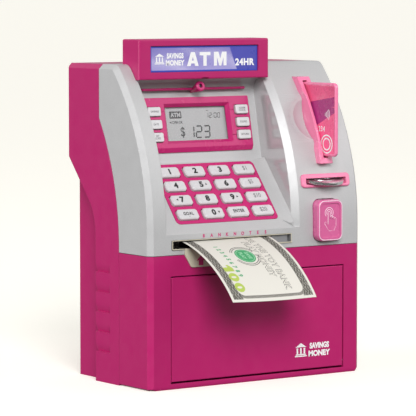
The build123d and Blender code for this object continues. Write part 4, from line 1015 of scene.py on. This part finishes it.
class NoteShape:
    """The hanging note's surface: across in mm from its left edge, along from its inner end."""

    def __init__(self):
        low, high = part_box("banknote")
        self.width = (high.x - low.x) / MM
        self.x0 = low.x / MM
        self.steep = math.hypot(1.0, NOTE_RISE)
        self.inner = self.steep * (high.y / MM - NOTE_KNEE[0])
        self.cx, self.cy, self.radius = circle_through(NOTE_KNEE, NOTE_MID, NOTE_TIP)
        self.start = math.atan2(NOTE_KNEE[1] - self.cy, NOTE_KNEE[0] - self.cx)
        self.end = math.atan2(NOTE_TIP[1] - self.cy, NOTE_TIP[0] - self.cx)
        self.length = self.inner + abs(self.end - self.start) * self.radius

    def point(self, across, along, lift=0.0):
        """Point in mm. Outside the slot the sheet is a little wavy and lower on the right."""
        if along < self.inner:
            step = (self.inner - along) / self.steep
            y, z = NOTE_KNEE[0] + step, NOTE_KNEE[1] + step * NOTE_RISE
            ny, nz = -NOTE_RISE / self.steep, 1.0 / self.steep
        else:
            turn = (along - self.inner) / self.radius
            angle = self.start + math.copysign(turn, self.end - self.start)
            ny, nz = math.cos(angle), math.sin(angle)
            y, z = self.cx + self.radius * ny, self.cy + self.radius * nz
        out = max(0.0, (along - self.inner - 4.0) / (self.length - self.inner))
        side = across / self.width
        z -= 1.0 * out * side**1.5
        z += 0.35 * out * math.sin(4.2 * side + 3.0 * out) + 0.9 * out**2 * (side - 0.45)**2
        middle = self.width / 2
        x = self.x0 + middle + (across - middle) * (1.0 - 0.05 * min(1.0, out))
        return Vector((x, y + ny * lift, z + nz * lift))


def diced(mesh, size):
    """Cuts a flat mesh into strips so that it can bend."""
    bm = bmesh.new()
    bm.from_mesh(mesh)
    ys = [v.co.y for v in bm.verts]
    y = min(ys) + size
    while y < max(ys):
        geometry = bm.verts[:] + bm.edges[:] + bm.faces[:]
        bmesh.ops.bisect_plane(bm, geom=geometry, plane_co=(0, y, 0), plane_no=(0, 1, 0))
        y += size
    return as_mesh(bm, "diced")


def on_note(name, meshes, shape, material, lift=0.16):
    """Printing drawn in mm, x across and -y along, that bends and slides with the note."""
    mesh = diced(joined(meshes), 1.2)
    for vertex in mesh.vertices:
        co = vertex.co
        vertex.co = shape.point(co.x, -co.y, lift + co.z) * MM
    mesh.update()
    add_piece(name, mesh, "banknote", material)


def along_note(*text, **style):
    """Lettering that reads along the note towards its free end."""
    return lettering(*text, turn=-math.pi / 2, **style)


def note_sheet(shape):
    """Two-sided sheet with its flat coordinates as UVs."""
    bm = bmesh.new()
    uv = bm.loops.layers.uv.new("sheet")
    columns, rows = range(NOTE_COLUMNS), range(NOTE_ROWS)
    flat = [[(shape.width * c / NOTE_COLUMNS, shape.length * row / NOTE_ROWS)
             for c in range(NOTE_COLUMNS + 1)] for row in range(NOTE_ROWS + 1)]
    top, bottom = ([[(bm.verts.new(shape.point(*spot, lift) * MM), spot) for spot in line]
                    for line in flat] for lift in (NOTE_HALF_THICK, -NOTE_HALF_THICK))

    def face(*corners):
        made = bm.faces.new([vert for vert, spot in corners])
        for loop, (vert, spot) in zip(made.loops, corners):
            loop[uv].uv = (spot[0] / UV_SCALE, spot[1] / UV_SCALE)

    for r in rows:
        for c in columns:
            face(top[r][c], top[r + 1][c], top[r + 1][c + 1], top[r][c + 1])
            face(bottom[r][c], bottom[r][c + 1], bottom[r + 1][c + 1], bottom[r + 1][c])
        face(top[r][0], bottom[r][0], bottom[r + 1][0], top[r + 1][0])
        face(top[r][-1], top[r + 1][-1], bottom[r + 1][-1], bottom[r][-1])
    for c in columns:
        face(top[0][c], top[0][c + 1], bottom[0][c + 1], bottom[0][c])
        face(top[-1][c], bottom[-1][c], bottom[-1][c + 1], top[-1][c + 1])
    return as_mesh(bm, "play_note")


def banknote():
    shape = NoteShape()
    note_paper(shape.width, shape.length)
    mesh = note_sheet(shape)
    smooth(mesh)
    add_piece("play_note", mesh, "banknote", "play_note", replaces=True)

    value = [plate(NUMERAL_ONE)]
    turns = [2 * math.pi * n / 32 for n in range(32)]
    for y in (-64.2, -72.3):
        value.append(plate(*[[(10.5 + wide * math.cos(t), y + high * math.sin(t)) for t in turns]
                             for wide, high in ((3.6, 3.5), (1.9, 0.9))]))
    on_note("note_value", value, shape, "ink_lime")
    serial = [along_note(digit, 4.2, 0.12, squeeze=0.9, at=(16.4, -(33.0 + 3.75 * n)))
              for n, digit in enumerate("123456789")]
    on_note("note_serial", serial, shape, "ink_green")
    u, v = NOTE_SEAL
    on_note("note_seal", [plate(arc(u, v, 7.0, count=44))], shape, "ink_green", 0.14)
    seal = [along_note("SAVE", 3.6, 0.16, squeeze=0.9, at=(u + 2.4, v)),
            along_note("PLAY", 3.6, 0.16, squeeze=0.9, at=(u - 2.0, v)),
            strokes([arc(u, v, 6.0, count=44)], 0.5)]
    on_note("note_seal_tint", seal, shape, "ink_green_tint", 0.19)
    crescents = [strokes([arc(u, v, r, *span, 30)], 0.5)
                 for r in (8.6, 9.8) for span in ((25, 155), (205, 335))]
    on_note("note_tracery", crescents, shape, "ink_engraved")
    lines = (("PLAY MONEY", (41.0, -47.0)), ("FOR THE TOY BANK", (47.4, -47.5)))
    for name, bold, material, lift in (("note_lettering", 0.26, "ink_engraved", 0.16),
                                       ("note_lettering_fill", -0.04, "paper_plain", 0.19)):
        words = [along_note(text, 6.2, bold, 1.08, 0.92, at=at) for text, at in lines]
        on_note(name, words, shape, material, lift)


# ---- camera pod and inner parts
CAMERA_TILT = 0.35      # radians above level
LENS_DOME = [(1.13, -1.6), (1.13, -0.9), (1.0, -0.75), (0.8, -0.62), (0.5, -0.5), (0.2, -0.44),
             (0.03, -0.43)]
DRUM_RADIUS = {"drive_roller": 4.0, "pinch_roller": 3.0}


def lathe(rings, count=28):
    """Closed turned shape in millimetres about Z, from (radius, height) pairs."""
    bm = bmesh.new()
    loops = [[bm.verts.new((*polar(0, 0, radius, 2 * math.pi * n / count), height))
              for n in range(count)] for radius, height in rings]
    skin(bm, loops)
    bm.faces.new(loops[0][::-1])
    bm.faces.new(loops[-1])
    bmesh.ops.recalc_face_normals(bm, faces=bm.faces)
    mesh = as_mesh(bm, "turned")
    smooth(mesh, 40)
    return mesh


def camera_lens():
    aim = Vector((0, -math.cos(CAMERA_TILT), math.sin(CAMERA_TILT)))
    up = Vector((0, math.sin(CAMERA_TILT), math.cos(CAMERA_TILT)))
    origin = part_frame("camera_bar", up, aim)[0]
    low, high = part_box("camera_bar")
    origin.x = (low.x + high.x) / 2
    place = (origin, X, up, aim)
    printed("camera_lens", [lathe(LENS_DOME)], place, "lens_black", "camera_bar", 0.0)


def inner_parts():
    """Nodes that keep their CAD shape get the finish of their slot."""
    for node, material in SLOT_OF.items():
        if material in MATERIALS and node not in ("sign_insert", "lcd_panel", "lcd_lens"):
            dress(nodes[node], material)
    for node, radius in DRUM_RADIUS.items():
        tyres(node, radius)


def tyres(node, radius):
    """Two rubber tyres with fine ribs over a roller's drum."""
    low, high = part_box(node)
    ribs = [(radius + (0.10 if step % 2 else 0.02), 0.5 * step) for step in range(23)]
    rings = [(radius - 0.4, 0.0)] + ribs + [(radius - 0.4, 11.0)]
    meshes = [shifted(lathe(rings, 36), 0, 0, start) for start in (13.7, 55.7)]
    place = (Vector((low.x, (low.y + high.y) / 2, (low.z + high.z) / 2)), Y, Z, X)
    printed(node + "_tyres", meshes, place, "roller_rubber", node, 0.0)


# ---- stage, light and camera
STAGE_MIDDLE = (0, 0, 0.1)


def stage():
    """Pale matt floor with a little glow, so that it stays even."""
    look = Look("pale_floor", rough=1.0)
    look.colour(FLOOR_COLOUR)
    look.set("Specular IOR Level", 0.0)
    look.set("Emission Color", FLOOR_GLOW_COLOUR)
    look.set("Emission Strength", FLOOR_GLOW)
    bm = bmesh.new()
    bmesh.ops.create_circle(bm, cap_ends=True, radius=120.0, segments=64)
    floor = bpy.data.objects.new("floor", as_mesh(bm, "floor"))
    bpy.context.collection.objects.link(floor)
    dress(floor, "pale_floor")
    floor.visible_glossy = False
    floor.visible_diffuse = False


def aimed(obj, place, aim):
    """Adds a light or the camera, turned to a point."""
    obj.location = place
    obj.rotation_euler = (Vector(aim) - Vector(place)).to_track_quat("-Z", "Y").to_euler()
    bpy.context.collection.objects.link(obj)
    return obj


def sun(name, place, strength, degrees):
    data = bpy.data.lights.new(name, "SUN")
    data.energy = strength
    data.angle = math.radians(degrees)
    aimed(bpy.data.objects.new(name, data), place, STAGE_MIDDLE)


def panel(name, place, aim, watts, width, height):
    data = bpy.data.lights.new(name, "AREA")
    data.energy = watts
    data.shape = "RECTANGLE"
    data.size = width
    data.size_y = height
    aimed(bpy.data.objects.new(name, data), place, aim)


def lights():
    scene = bpy.context.scene
    world = bpy.data.worlds.new("studio")
    world.use_nodes = True
    sky = world.node_tree.nodes["Background"]
    sky.inputs["Color"].default_value = (1.0, 0.985, 0.95, 1.0)
    sky.inputs["Strength"].default_value = 0.15
    scene.world = world
    sun("key_sun", (-0.80, -1.62, 1.04), 2.9, 30)
    panel("softbox", (0.87, -1.05, 0.79), STAGE_MIDDLE, 5.0, 1.0, 1.0)
    panel("left_panel", (-1.55, 0.25, 0.5), (-0.08, 0.0, 0.1), 17.0, 1.3, 1.2)
    sun("rear_sun", (0.6, 1.5, 0.7), 0.6, 90)
    sun("right_sun", (1.6, 0.1, 0.5), 0.6, 90)
    scene.view_settings.view_transform = "Standard"


def camera():
    """Camera solved from the straight edges of the body in the photograph."""
    data = bpy.data.cameras.new("camera")
    data.lens = 234.9
    data.sensor_width = 36.0
    data.clip_end = 300.0
    obj = bpy.data.objects.new("camera", data)
    place, aim = (-0.99212, -1.39556, 0.24322), (-0.006135, 0.0, 0.105459)
    bpy.context.scene.camera = aimed(obj, place, aim)


make_materials()
inner_parts()
shells()
keys()
soft_keys()
display()
sign()
door_emblem()
slot_printing()
touch_pictogram()
coin()
card()
banknote()
camera_lens()
stage()
lights()
camera()
